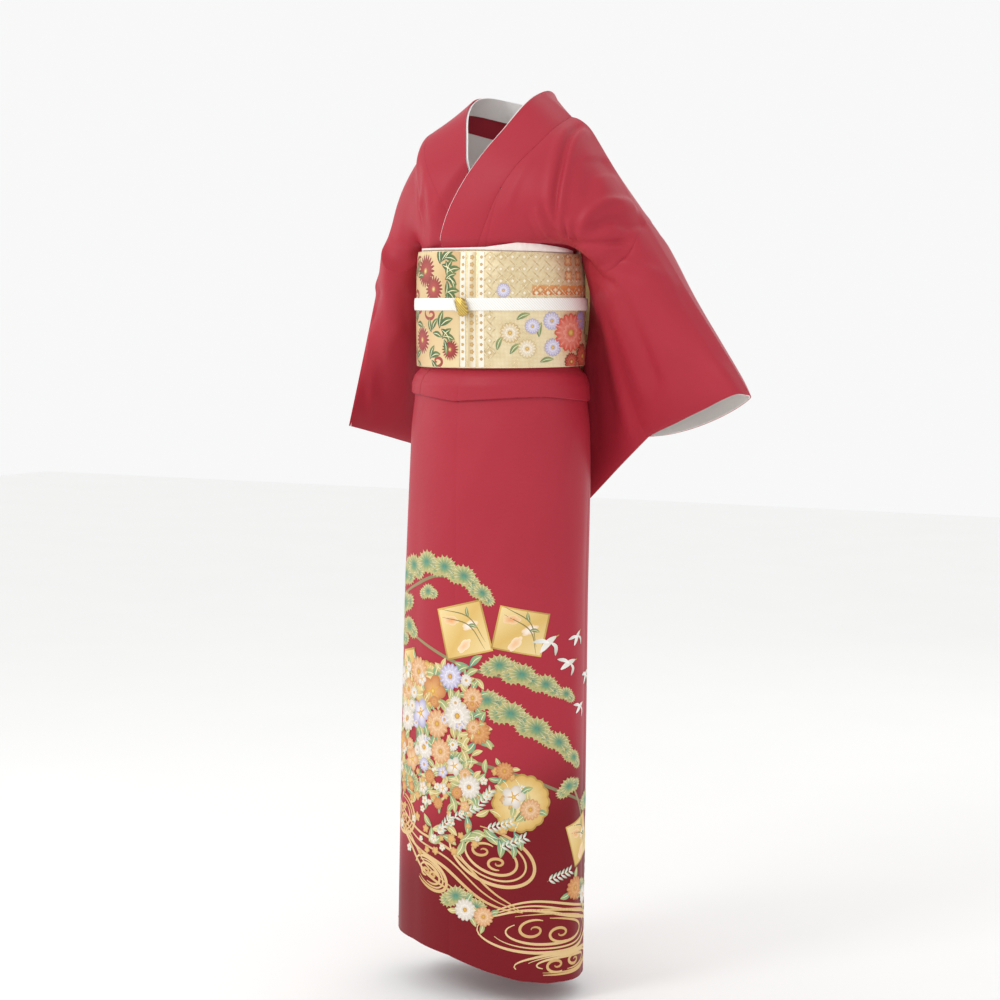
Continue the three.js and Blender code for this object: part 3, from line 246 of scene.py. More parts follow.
def line_through(points):
    """A smooth line through points, each span a cubic of its four nearest points
    (Catmull-Rom), read by the share of the line's length."""
    p = np.array(points, float)
    ends = np.vstack([2 * p[0] - p[1], p, 2 * p[-1] - p[-2]])
    t = np.linspace(0, 1, 24, endpoint=False)[None, :, None]
    a, b, c, d = (ends[k:k + len(p) - 1][:, None, :] for k in range(4))
    cubic = 0.5 * (2 * b + (c - a) * t + (2 * a - 5 * b + 4 * c - d) * t**2
                   + (3 * b - a - 3 * c + d) * t**3)
    dense = np.vstack([cubic.reshape(-1, p.shape[1]), p[-1]])
    reach = np.r_[0, np.cumsum(length_of(np.diff(dense, axis=0)))]

    def at(share):
        goal = np.clip(share, 0, 1) * reach[-1]
        return np.stack([np.interp(goal, reach, dense[:, k]) for k in range(p.shape[1])], -1)
    return at


def joined(first, second, joint):
    """Two lines read one after the other, the first up to the share `joint`."""
    def at(share):
        near = first(share / joint)
        far = second((share - joint) / (1 - joint))
        return np.where((share <= joint)[..., None], near, far)
    return at


def stretched(top, bottom, left, right):
    """A surface between four lines (a Coons patch): the two ruled surfaces of opposite
    lines added, less the flat patch of the four corners."""
    near, far = np.array(0.0), np.array(1.0)
    corners = top(near), top(far), bottom(near), bottom(far)

    def at(u, v):
        t, b, l, r = top(u), bottom(u), left(v), right(v)
        u, v = u[..., None], v[..., None]
        flat = ((1 - u) * (1 - v) * corners[0] + u * (1 - v) * corners[1]
                + (1 - u) * v * corners[2] + u * v * corners[3])
        return (1 - v) * t + v * b + (1 - u) * l + u * r - flat
    return at


def on_ring(rings, angle, z, inset=0.0):
    """A point of the ellipse that a ring table gives at a height, `inset` mm inside it."""
    turn = np.radians(angle)
    a, b, cx, cy = (read(rings, z, column) for column in (1, 2, 3, 4))
    x = cx + (a - inset) * np.cos(turn)
    y = cy + (b - inset) * np.sin(turn)
    return np.stack(np.broadcast_arrays(x, y, z), -1).astype(float)


def wave_height(angle, z):
    """The sum of the skirt's soft waves: each is a bell across its slanting line."""
    height = np.zeros(np.broadcast(angle, z).shape)
    for a0, z0, a1, z1, wide, high in SKIRT_WAVES:
        along = (z - z0) / (z1 - z0)
        away = (angle - (a0 + (a1 - a0) * along)) / wide
        fade = smooth_step(-0.02, 0.25, along) * smooth_step(1.4, 0.8, along)
        height += FOLD_GAIN * high * np.exp(-away**2) * fade
    return height


def on_skirt(angle, z, out=0.0):
    """The outer skirt cloth's middle: its ring, averaged over a short height below the tuck,
    with the waves added, and `out` mm outside it."""
    short = 26 * smooth_step(-470, -520, z)
    steps = [on_ring(SKIRT_RINGS, angle, z + short * k) for k in (-1, -0.5, 0, 0.5, 1)]
    point = sum(steps) / 5
    point[..., 2] = np.broadcast_to(z, point.shape[:-1])
    turn = np.radians(np.broadcast_to(angle, point.shape[:-1]))
    way = np.stack([np.cos(turn) * 0.8, np.sin(turn), np.zeros_like(turn)], -1)
    return point + unit(way) * (wave_height(angle, z) + out)[..., None]


def mesh_directions(points, inside=None):
    """Unit normals of a grid, turned on the whole away from the point `inside`, or from
    the body's upright axis."""
    along = np.gradient(points, axis=1)
    down = np.gradient(points, axis=0)
    normal = unit(np.cross(along, down))
    middle = points * [0, 0, 1] if inside is None else np.array(inside, float)
    return normal * math.copysign(1, np.sum(normal * (points - middle)))


def piece_of(points, inside=None):
    return {"points": points, "normals": mesh_directions(points, inside)}


def share_seams(pieces):
    """Pieces that meet at a seam get the mean of their normals along it."""
    points = np.vstack([p["points"].reshape(-1, 3) for p in pieces])
    normals = np.vstack([p["normals"].reshape(-1, 3) for p in pieces])
    _, place = np.unique(np.round(points * 20).astype(int), axis=0, return_inverse=True)
    place = place.ravel()
    total = np.zeros((place.max() + 1, 3))
    np.add.at(total, place, normals)
    shared = total[place]
    shared = np.where(length_of(shared) > 0.05, unit(shared), normals)
    start = 0
    for piece in pieces:
        count = piece["points"].shape[0] * piece["points"].shape[1]
        piece["normals"] = shared[start:start + count].reshape(piece["points"].shape)
        start += count


def raise_folds(piece, folds, body):
    """Moves a grid along its normals by its folds: bells across smooth lines, seen from the
    front (from the side on the right sleeve), faded at both ends and at the shoulder line, and
    on the body at its first seam and below the sash top too."""
    points = piece["points"]
    height = np.zeros(points.shape[:-1])
    for line, wide, high in folds:
        seen = np.array([0.12, 1, 1] if line[0][0] < -150 else [1, 0.12, 1])
        line = line_through(line)(np.linspace(0, 1, 17)) * seen
        start, step = line[:-1], np.diff(line, axis=0)
        way = (points * seen)[..., None, :] - start
        along = np.clip(np.sum(way * step, -1) / np.sum(step * step, -1), 0, 1)
        gap = length_of(way - along[..., None] * step)[..., 0]
        nearest = gap.argmin(-1)[..., None]
        away = np.take_along_axis(gap, nearest, -1)[..., 0] / wide
        share = (nearest + np.take_along_axis(along, nearest, -1))[..., 0] / len(step)
        height += FOLD_GAIN * high * np.exp(-away**2) * (
            smooth_step(0, 0.2, share) * smooth_step(1, 0.75, share))
    rows = np.arange(points.shape[0])[:, None]
    height *= smooth_step(0, FINE * 0.75, rows)
    if body:
        columns = np.arange(points.shape[1])[None, :]
        height *= smooth_step(0, FINE, columns) * smooth_step(-214, -204, points[..., 2])
    piece["points"] = points + piece["normals"] * height[..., None]


def seam_distance(points, sides):
    """The way along the cloth from each point to the nearest of the named sides."""
    across = np.cumsum(np.pad(length_of(np.diff(points, axis=1))[..., 0], ((0, 0), (1, 0))), 1)
    down = np.cumsum(np.pad(length_of(np.diff(points, axis=0))[..., 0], ((1, 0), (0, 0))), 0)
    away = {"l": across, "r": across[:, -1:] - across, "t": down, "b": down[-1:] - down}
    return across, down, np.minimum.reduce([away[s] for s in sides] or [across * 0 + 1e3])


# ------------------------------------------------------------ meshes
def cells(number):
    """The four corners of each cell of a grid of point numbers."""
    return np.stack([number[:-1, :-1], number[:-1, 1:], number[1:, 1:], number[1:, :-1]], -1)


def turned_outwards(vertices, faces):
    """A closed mesh's faces, turned round if they enclose less than nothing."""
    corners = vertices[faces] - vertices[0]
    volume = np.einsum("ij,ij->", corners[:, 0], np.cross(corners[:, 1], corners[:, 2]))
    return faces[:, ::-1] if volume < 0 else faces


def make_object(name, vertices, faces, materials, face_material=None, uv=None, colour=None):
    """A smooth-shaded object from whole arrays of points (mm) and faces."""
    mesh = bpy.data.meshes.new(name)
    mesh.from_pydata((vertices * 0.001).tolist(), [], faces.tolist())
    for material in materials:
        mesh.materials.append(material)
    if face_material is not None:
        mesh.polygons.foreach_set("material_index", face_material.astype(np.int32))
    corners = faces.ravel()
    if uv is not None:
        layer = mesh.uv_layers.new(name="cloth")
        layer.data.foreach_set("uv", (uv[corners] * 0.001).astype(np.float32).ravel())
    if colour is not None:
        attribute = mesh.color_attributes.new(name="dye", type="FLOAT_COLOR", domain="POINT")
        rgba = np.c_[colour, np.ones(len(colour))].astype(np.float32)
        attribute.data.foreach_set("color", rgba.ravel())
    mesh.shade_smooth()
    mesh.set_sharp_from_angle(angle=math.radians(55))
    mesh.update()
    thing = bpy.data.objects.new(name, mesh)
    bpy.context.scene.collection.objects.link(thing)
    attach(thing, "root")
    return thing


def shell(name, node, piece, thickness, materials, seams="", keep=None, dip=0.45):
    """A closed cloth shell in a solid's place: the kept cells of a grid moved out and in by
    half the thickness, a rim round them, and a groove `dip` deep along the sewn sides."""
    points, normals = piece["points"], piece["normals"]
    rows, columns = points.shape[:2]
    across, down, away = seam_distance(points, seams)
    grooved = points - normals * (dip * np.exp(-(away / GROOVE)**2))[..., None]
    drawn = grooved.copy()
    for edge, near in ((0, 1), (-1, -2)):
        drawn[edge] += unit(grooved[near] - grooved[edge]) * DRAWN_GAP / 2
        drawn[:, edge] += unit(grooved[:, near] - grooved[:, edge]) * DRAWN_GAP / 2
    half = normals * thickness / 2
    vertices = np.vstack([(drawn + half).reshape(-1, 3), (drawn - half).reshape(-1, 3)])
    keep = np.ones((rows - 1, columns - 1), bool) if keep is None else keep
    count = rows * columns
    number = np.arange(count).reshape(rows, columns)
    outer = cells(number)[keep]
    wide = np.pad(keep, 1).astype(int)
    step_down = wide[1:, 1:-1] - wide[:-1, 1:-1]
    step_across = wide[1:-1, 1:] - wide[1:-1, :-1]
    left, right, upper, lower = number[:, :-1], number[:, 1:], number[:-1], number[1:]
    p, q = np.hstack([[start[step == sign], end[step == sign]] for start, end, step, sign in (
        (left, right, step_down, 1), (right, left, step_down, -1),
        (lower, upper, step_across, 1), (upper, lower, step_across, -1))])
    rim = np.stack([q, p, p + count, q + count], 1)
    faces = np.vstack([outer, outer[:, ::-1] + count, rim])
    kinds = np.repeat([0.0, 1.0, 0.0], [len(outer), len(outer), len(rim)])
    uv = np.tile(np.stack([across, -down], -1).reshape(-1, 2), (2, 1))
    used, place = np.unique(turned_outwards(vertices, faces), return_inverse=True)
    thing = make_object(name, vertices[used], place.reshape(faces.shape), materials, kinds,
                        uv[used])
    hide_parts(node)
    return thing


def sew(node, piece, thickness, materials, seams="", keep=None,
        dip=0.45):
    """A shell named after its solid and its sheet."""
    thing = shell(node + "_cloth", node, piece, thickness, materials, seams, keep, dip)


# ------------------------------------------------------------ materials
def linear(hex_colour):
    """An sRGB hex colour as linear red, green, blue and 1."""
    srgb = np.array([int(hex_colour[i:i + 2], 16) / 255 for i in (0, 2, 4)])
    low, high = srgb / 12.92, ((srgb + 0.055) / 1.055)**2.4
    return [*np.where(srgb <= 0.04045, low, high).tolist(), 1.0]


def add(tree, kind, inputs=(), **settings):
    """Adds a shader node with its settings; inputs are numbers, colours or sockets."""
    made = tree.nodes.new("ShaderNode" + kind)
    for name, value in settings.items():
        setattr(made, name, value)
    for name, value in dict(inputs).items():
        if isinstance(value, bpy.types.NodeSocket):
            tree.links.new(value, made.inputs[name])
        else:
            made.inputs[name].default_value = value
    return made


def new_material(name):
    """An empty material with its texture coordinates."""
    material = bpy.data.materials.new(name)
    material.use_nodes = True
    tree = material.node_tree
    tree.nodes.clear()
    return material, tree, add(tree, "TexCoord")


def finish_material(tree, inputs, height=None, depth=0.0003):
    """Principled surface with an optional bump from a height socket, depth in metres."""
    surface = add(tree, "BsdfPrincipled", inputs)
    if height is not None:
        bump = add(tree, "Bump", {"Height": height, "Strength": 1.0, "Distance": depth})
        tree.links.new(bump.outputs["Normal"], surface.inputs["Normal"])
    output = add(tree, "OutputMaterial")
    tree.links.new(surface.outputs["BSDF"], output.inputs["Surface"])


def mixed(tree, share, first, second, blend_type="MIX"):
    """The result socket of two colours mixed by a share."""
    made = add(tree, "Mix", {"Factor": share, 6: first, 7: second}, data_type="RGBA",
               blend_type=blend_type)
    return made.outputs[2]


def noise(tree, place, scale, detail=2.0):
    return add(tree, "TexNoise", {"Vector": place, "Scale": scale,
                                  "Detail": detail}).outputs["Fac"]


def summed(tree, first, second):
    return add(tree, "Math", {0: first, 1: second}, operation="ADD").outputs["Value"]


def crepe_silk(name, base, warm, deep=None, rough=0.44, sheen=0.06):
    """Silk crepe with a satin face: a soft gloss broken by crimped threads 1.6 mm apart, drawn
    four times too large to show, cloudy dye 120 mm across, and a shading that deepens along a
    slant to the hem, between the heights `From Min` and `From Max`."""
    material, tree, coords = new_material(name)
    place, uv = coords.outputs["Object"], coords.outputs["UV"]
    colour = mixed(tree, noise(tree, place, 8.0, 3.0), linear(base), linear(warm))
    if deep:
        slant = add(tree, "VectorMath", {0: place, 1: (-0.48, -0.1, 1.0)}, operation="DOT_PRODUCT")
        depth = add(tree, "MapRange", {"Value": slant.outputs["Value"], "From Min": -0.98,
                                       "From Max": -1.17}, interpolation_type="SMOOTHERSTEP")
        colour = mixed(tree, depth.outputs["Result"], colour, linear(deep))
    weft = add(tree, "TexWave", {"Vector": uv, "Scale": 160.0, "Distortion": 3.0, "Detail": 1.0},
               bands_direction="Y")
    height = summed(tree, noise(tree, uv, 620.0), weft.outputs["Fac"])
    finish_material(tree, {"Base Color": colour, "Roughness": rough, "Sheen Weight": sheen,
                           "Sheen Roughness": 0.3, "Sheen Tint": linear("ff6a74"),
                           "Specular IOR Level": 0.22, "IOR": 1.5}, height, 0.00008)
    return material


def plain_silk(name, base, shade, scale, depth, rough=0.6):
    """White silk: matt, warm white, with a fine even grain."""
    material, tree, coords = new_material(name)
    grain = noise(tree, coords.outputs["UV"], scale, 3.0)
    colour = mixed(tree, grain, linear(base), linear(shade))
    finish_material(tree, {"Base Color": colour, "Roughness": rough, "Sheen Weight": 0.2,
                           "IOR": 1.5}, grain, depth)
    return material


def gold_brocade(name, base, pale_gold_and_glint, metal=0.45):
    """Brocade of silk and flat gold-paper threads: pale patches that come and go over 30 mm,
    partly the gold's own tone and partly painted glints, with the gloss varying alongside them,
    fine weft lines of 0.5 mm, drawn at 1.5 mm, and faint woven diamonds 6 mm high."""
    material, tree, coords = new_material(name)
    uv = coords.outputs["UV"]
    weft = add(tree, "TexWave", {"Vector": uv, "Scale": 210.0, "Distortion": 0.6},
               bands_direction="Y")
    slanted = add(tree, "Mapping", {"Vector": uv, "Rotation": (0, 0, math.radians(45))})
    net = add(tree, "TexChecker", {"Vector": slanted.outputs["Vector"], "Scale": 230.0})
    # painted glints: this noise lightens the gold towards its pale colour in patches, partly its
    # own tone and partly painted glints; it also varies the roughness
    tone_and_glint_noise = noise(tree, uv, 34.0, 4.0)
    faint = add(tree, "Math", {0: net.outputs["Fac"], 1: 0.07}, operation="MULTIPLY")
    colour = mixed(tree, summed(tree, faint.outputs["Value"], tone_and_glint_noise), linear(base),
                   linear(pale_gold_and_glint))
    rough = add(tree, "MapRange", {"Value": tone_and_glint_noise, "From Min": 0.35, "From Max": 0.65,
                                   "To Min": 0.22, "To Max": 0.46})
    finish_material(tree, {"Base Color": colour, "Metallic": metal, "IOR": 1.5,
                           "Roughness": rough.outputs["Result"]},
                    summed(tree, weft.outputs["Fac"], net.outputs["Fac"]), 0.0001)
    return material


def dyed(name, rough, metal, scale, depth):
    """Figures in the colours of the attribute `dye`: hand-painted paste dye on the hem, or
    raised woven floats on the brocade, with a fine thread grain."""
    material, tree, coords = new_material(name)
    dye = add(tree, "VertexColor", layer_name="dye").outputs["Color"]
    grain = noise(tree, coords.outputs["Object"], scale)
    colour = mixed(tree, grain, dye, mixed(tree, 0.16, dye, (1, 1, 1, 1), "OVERLAY"))
    finish_material(tree, {"Base Color": colour, "Roughness": rough, "Metallic": metal,
                           "IOR": 1.5}, grain, depth)
    return material


def braided(name, base, groove_shade, metal=0.0, rough=0.5):
    """Flat silk braid: slanting plaits 2 mm wide, with painted shade in the grooves between them.
    """
    material, tree, coords = new_material(name)
    plait = add(tree, "TexWave", {"Vector": coords.outputs["UV"], "Scale": 150.0,
                                  "Distortion": 0.8}, bands_direction="DIAGONAL").outputs["Fac"]
    # painted shade: the darker colour lies in the grooves between the plaits
    colour = mixed(tree, plait, linear(groove_shade), linear(base))
    finish_material(tree, {"Base Color": colour, "Roughness": rough, "Metallic": metal,
                           "Sheen Weight": 0.15, "IOR": 1.5}, plait, 0.0002)
    return material


CRIMSON = crepe_silk("crimson_silk_crepe", "a72a39", "b02f3f", "780a17")
CRIMSON_INNER = crepe_silk("crimson_lining_silk", "9c2532", "a52a38", rough=0.5)
WHITE = plain_silk("white_habotai_silk", "f6f3ef", "ece7e2", 500.0, 0.00005)
COLLAR_WHITE = plain_silk("white_rinzu_satin", "fbf9f7", "efebe8", 260.0, 0.00012, 0.45)
# the second colour is the pale gold of the lighter patches and painted glints
GOLD = gold_brocade("gold_paper_brocade", "c9aa70", "f8ecca")
SCARF = plain_silk("pale_pink_tie_dyed_crepe", "f6ebe6", "ead8d2", 90.0, 0.0009, 0.7)
# the second colour of each braid is the painted shade in its grooves
BRAID_WHITE = braided("white_flat_silk_braid", "fbfaf7", "e9e6de")
BRAID_GOLD = braided("gold_thread_braid", "e0c56a", "a98534", 0.6, 0.35)
PAINTED = dyed("paste_dyed_silk_painting", 0.5, 0.0, 700.0, 0.00008)
WOVEN = dyed("woven_brocade_figures", 0.42, 0.15, 900.0, 0.00015)


# ------------------------------------------------------------ bodice
def side_angle(body, angle):
    return angle if body["side"] > 0 else 180 - angle


def armpit(body, front):
    angle = SIDE_SEAM - front * ARMPIT_HALF_GAP
    return on_ring(BODY_RINGS, side_angle(body, angle), WAIST_TOP, -4.5)


def waist_line(body, from_angle, front):
    """The body's outline at the sash top, drawn to the armpit at its far end."""
    end, to_angle = armpit(body, front), SIDE_SEAM - front * ARMPIT_HALF_GAP

    def at(u):
        angle = side_angle(body, from_angle + (to_angle - from_angle) * u)
        point = on_ring(BODY_RINGS, angle, np.full_like(u, WAIST_TOP, dtype=float))
        return point + (end - point) * smooth_step(0.85, 1, u)[..., None]
    return at


def through_crease(surface, body):
    """The surface drawn on to a crease line from the shoulder to the sash."""
    line, (start, end) = line_through(body["crease"]), body["crease_at"]

    def away(v):
        return line(v) - surface(start + (end - start) * v, v)
    top, bottom = away(np.array(0.0)), away(np.array(1.0))

    def at(u, v):
        place = start + (end - start) * v
        near = np.where(u < place, smooth_step(0, 1, u / place),
                        1 - (np.maximum(u - place, 0) / (1 - place))**4)
        move = away(v) - (top + (bottom - top) * v[..., None])
        return surface(u, v) + move * near[..., None]
    return at


def rounded_out(surface, body, sideways, back):
    """A surface moved outwards and back by sine times sine, fullest in its middle."""
    def at(u, v):
        full = body["chest_full"] * np.sin(np.pi * u) * np.sin(np.pi * v)
        return surface(u, v) + full[..., None] * np.array([sideways * body["side"], back, 0])
    return at


def front_surface(body):
    """Stretched between shoulder, waist, collar seam and sleeve seam, and rounded out."""
    flat = stretched(line_through(body["shoulder"]), waist_line(body, COLLAR_SEAM[0][1], 1),
                     line_through(body["collar_seam"]),
                     line_through([*body["front_seam"], armpit(body, 1)]))
    return rounded_out(through_crease(flat, body) if "crease" in body else flat, body, 0.3, -1)


def back_surface(body):
    """The same for the back, from the nape and shoulder down to the sash."""
    centre = [[0, 128, -42], [0, 127, -90], [0, 112, -155], [0, 92, WAIST_TOP]]
    nape = NAPE_COLUMNS / (NAPE_COLUMNS + SHOULDER_COLUMNS)
    top = joined(line_through(body["nape_seam"]), line_through(body["shoulder"]), nape)
    flat = stretched(top, waist_line(body, 90, -1), line_through(centre),
                     line_through([*body["back_seam"], armpit(body, -1)]))
    return rounded_out(flat, body, 0.2, 1)


def tuck_table():
    """Rows below the sash top. A row's height is its first value plus its second times the
    tuck's lowest height; its third value is how far inside the outer wall it lies."""
    radius = TUCK_RETURN / 2
    down = [(z, 0, 0) for z in [*np.linspace(WAIST_TOP - 5, SASH_FOOT, STRAIGHT_ROWS),
                                *np.linspace(SASH_FOOT - 3, TUCK_SWELL_END, SWELL_ROWS)]]
    near = [(TUCK_SWELL_END * (1 - s) + radius * s, s, 0)
            for s in np.linspace(0.17, 0.98, FALL_ROWS)]
    turn = [(radius * (1 - math.sin(t)), 1, radius * (1 - math.cos(t)))
            for t in np.linspace(0, math.pi, TURN_ROWS)]
    back = [(a, b, TUCK_RETURN) for a, b, _ in reversed(near)]
    up = [(z, 0, TUCK_RETURN) for z in np.linspace(TUCK_SWELL_END, -384, BACK_ROWS)]
    return np.array([*down, *near, *turn, *back, *up], float)


TUCK_ROWS = tuck_table()


def tuck_height(angle):
    return read(TUCK, (angle + 156) % 360 - 156)


def tuck_points(columns, angle_at, lap=None, rows=None):
    """Rows of points below the sash: on the body's rings, down to the tuck and back up."""
    table = TUCK_ROWS[:rows]
    share = np.linspace(0, 1, columns + 1)[None, :]
    level = (table[:, 0] + table[:, 1] * TUCK_LEVEL)[:, None]
    angle = angle_at(share, level) + 0 * level
    z = table[:, :1] + table[:, 1:2] * tuck_height(angle)
    inset = table[:, 2:] + (0 if lap is None else lap(angle, z))
    return on_ring(BODY_RINGS, angle, z, inset)


def between_seams(first, second):
    return lambda share, z: read(first, z) + (read(second, z) - read(first, z)) * share


def overlap_share(v):
    """The overlap seam's share of the front's width, from its top, a narrow tip, to the sash."""
    start, end = COLLAR_SEAM[0][1], OVERLAP_SEAM[0][1]
    width = (end - start) / (SIDE_SEAM - ARMPIT_HALF_GAP - start)
    ramp = OVERLAP_TIP + (width - OVERLAP_TIP) * (v - OVERLAP_TOP) / (1 - OVERLAP_TOP)
    return np.where(v < OVERLAP_TOP - 1e-6, 0, ramp)


def under_lap(angle, z):
    """How deep the right front lies below the left one."""
    edge = read(COLLAR_EDGE, z) + 360
    depth = np.where(z > -370, UNDER_LAP, UNDER_TUCK_LAP)
    return depth * smooth_step(0, 19, angle - edge + 24)


def sunk(points):
    """The right front sinks below the line of the left collar's inner edge."""
    edge = np.array(LEFT["collar_edge"][4:])
    edge_x = read(edge[:, [2, 0]], points[..., 2])
    lap = UNDER_LAP * smooth_step(-34, -4, points[..., 0] - edge_x)
    return points + np.stack([0 * lap, lap, 0 * lap], -1)


def grid_of(surface, u, v):
    return surface(*np.broadcast_arrays(u, v))


def chest_rows(start=0.0):
    count = round(CHEST_ROWS * (1 - start)) * FINE
    return np.linspace(start, 1, count + 1)[:, None]


def collar_band(body, surface):
    """From the nape down the front: straight across from seam to free edge, the middle
    bowed forward near the sash and rounded like a padded fold."""
    across = np.linspace(0, 1, COLLAR_CELLS + 1)[None, :, None]
    neck = 0.27                                  # the nape's share of the free edge
    nape, edge = line_through(body["nape_seam"]), line_through(body["collar_edge"])
    back = np.linspace(0, 1, NAPE_COLUMNS * FINE, endpoint=False)
    v = chest_rows()[:, 0]
    outer = np.vstack([nape(back), surface(np.zeros_like(v), v)])
    inner = np.vstack([edge(back * neck), edge(neck + (1 - neck) * v)])
    bow = np.r_[0 * back, 3.6 * smooth_step(0.3, 1, v)][:, None, None]
    band = outer[:, None] + (inner - outer)[:, None] * across
    return band - 4 * across * (1 - across) * bow * np.array([0, 1, 0])


def under_collar(piece):
    """The inner half of the collar, moved inwards, and 3 mm past its free edge."""
    depth = (COLLAR_SILK + WHITE_SILK) / 2 + 0.9
    half = COLLAR_CELLS // 2
    points = (piece["points"] - piece["normals"] * depth)[:, half:]
    past = points[:, -1:] + unit(points[:, -1:] - points[:, -2:-1]) * 3
    normals = np.concatenate([piece["normals"][:, half:], piece["normals"][:, -1:]], 1)
    return {"points": np.concatenate([points, past], 1), "normals": normals}


# ------------------------------------------------------------ sleeves
def sleeve_rows():
    upper = np.linspace(0, ARMPIT_SHARE, CHEST_ROWS * FINE + 1)
    lower = np.linspace(ARMPIT_SHARE, 1, FREE_ROWS * FINE + 1)[1:]
    return np.r_[upper, lower][:, None]


def sleeve_surface(body, front):
    """Stretched between arm line, bottom, sleeve seam with free edge, and cuff; plumped
    along its level by one less the tenth power of the way from the middle."""
    half = "front" if front > 0 else "back"
    seam = line_through([*body[half + "_seam"], armpit(body, front)])
    free = line_through([armpit(body, front), *body[half + "_free"]])
    open_end = sleeve_rows()[CUFF_OPEN_ROWS * FINE, 0]
    flat = stretched(line_through(body["arm"]), line_through(body["bottom"]),
                     joined(seam, free, ARMPIT_SHARE),
                     joined(line_through(body["cuff_" + half]), line_through(body["cuff_sewn"]),
                            open_end))
    ends = [flat(np.array(float(u)), np.array(float(v)))
            for u, v in ((0.5, 1), (0.5, 0), (1, 0.5), (0, 0.5))]
    level = unit(np.cross(ends[0] - ends[1], ends[2] - ends[3]))
    level = level * (-1 if level[1] * front > 0 else 1)
    half_apart = (SILK + SEAM_GAP) / 2

    def at(u, v):
        loose = np.maximum(smooth_step(0, 0.1, u), smooth_step(ARMPIT_SHARE, 1, v))
        apart = half_apart * loose * smooth_step(0, 0.15, v)
        plump = body["sleeve_full"] * (1 - (2 * u - 1)**10) * (1 - (2 * v - 1)**10)
        return flat(u, v) + level * (apart + plump)[..., None]
    return at


def sleeve_pieces():
    """Front and back half of each sleeve, with their normals away from its middle."""
    pieces = {}
    across = np.linspace(0, 1, SLEEVE_COLUMNS * SLEEVE_FINE + 1)[None, :]
    for name, body in (("left", LEFT), ("right", RIGHT)):
        halves = [grid_of(sleeve_surface(body, side), across, sleeve_rows()) for side in (1, -1)]
        middle = sum(half[half.shape[0] // 2, half.shape[1] // 2] for half in halves) / 2
        for side, half in zip(("front", "back"), halves):
            pieces[f"sleeve_{name}_{side}"] = piece_of(half, middle)
    return pieces


def cuff_lining(front, back):
    """The last columns of both sleeve halves at the open cuff, moved in."""
    depth = (SILK + WHITE_SILK) / 2 + 0.4
    rows, columns = CUFF_OPEN_ROWS * FINE + 1, CUFF_LINING_CELLS + 1

    def strip(half):
        inward = half["points"] - half["normals"] * depth
        return inward[:rows - FINE, -columns:], half["normals"][:rows - FINE, -columns:]
    (a, an), (b, bn) = strip(front), strip(back)
    return {"points": np.vstack([a[::-1], b[1:]]), "normals": np.vstack([an[::-1], bn[1:]])}


def bodice_pieces():
    """The grids of the bodice and sleeves, with their normals shared and folds raised."""
    chest = {"left": front_surface(LEFT), "right": front_surface(RIGHT)}
    columns = SHOULDER_COLUMNS * FINE
    across = np.linspace(0, 1, columns + 1)[None, :]
    down = chest_rows()
    edge = overlap_share(down)
    left_front = np.vstack([
        grid_of(chest["left"], edge + (1 - edge) * across, down),
        tuck_points(columns, lambda s, z: read(OVERLAP_SEAM, z) + (SIDE_SEAM - read(
            OVERLAP_SEAM, z)) * s)])
    low = chest_rows(OVERLAP_TOP)
    strip = np.linspace(0, 1, 3 * FINE + 1)[None, :]
    overlap = np.vstack([grid_of(chest["left"], overlap_share(low) * strip, low),
                         tuck_points(3 * FINE, between_seams(COLLAR_SEAM, OVERLAP_SEAM))])
    turn = (SHOULDER_COLUMNS - UNDER_TUCK_COLUMNS) / SHOULDER_COLUMNS

    def right_angle(share, z):
        near = UNDER_COLLAR_SEAM + (UNDER_TUCK_END - UNDER_COLLAR_SEAM) * share / turn
        far = UNDER_TUCK_END + (180 - SIDE_SEAM - UNDER_TUCK_END) * (share - turn) / (1 - turn)
        return np.where(share <= turn, near, far)
    right_front = np.vstack([sunk(grid_of(chest["right"], across, down)),
                             tuck_points(columns, right_angle, under_lap)])
    grids = {"front_left": left_front, "overlap_left": overlap, "front_right": right_front}
    back_columns = (NAPE_COLUMNS + SHOULDER_COLUMNS) * FINE
    back_across = np.linspace(0, 1, back_columns + 1)[None, :]
    for name, body in (("left", LEFT), ("right", RIGHT)):
        angles = lambda s, z, b=body: side_angle(b, 90 + (SIDE_SEAM - 90) * s)
        grids["back_" + name] = np.vstack([
            grid_of(back_surface(body), back_across, down), tuck_points(back_columns, angles)])
    grids["collar_left"] = np.vstack([
        collar_band(LEFT, chest["left"]),
        tuck_points(COLLAR_CELLS, between_seams(COLLAR_SEAM, COLLAR_EDGE), None,
                    TUCK_FOLD_ROW)])
    grids["collar_right"] = np.vstack([
        sunk(collar_band(RIGHT, chest["right"])),
        tuck_points(COLLAR_CELLS, lambda s, z: UNDER_COLLAR_SEAM + UNDER_COLLAR_TURN * s,
                    lambda a, z: UNDER_LAP, 1)])
    pieces = {name: piece_of(grid) for name, grid in grids.items()}
    pieces.update(sleeve_pieces())
    share_seams(list(pieces.values()))
    for name, piece in pieces.items():
        if not name.startswith("collar"):
            back = name.startswith("back") or name.endswith("back")
            raise_folds(piece, BACK_FOLDS if back else FRONT_FOLDS, "sleeve" not in name)
    return pieces


# Sewn sides of each piece's grid, for its grooves: left, right, top; the sleeves have "lt".
SEWN_SIDES = {"front_left": "lrt", "overlap_left": "lr", "front_right": "rt",
              "back_left": "lrt", "back_right": "lrt", "collar_left": "l", "collar_right": "l"}


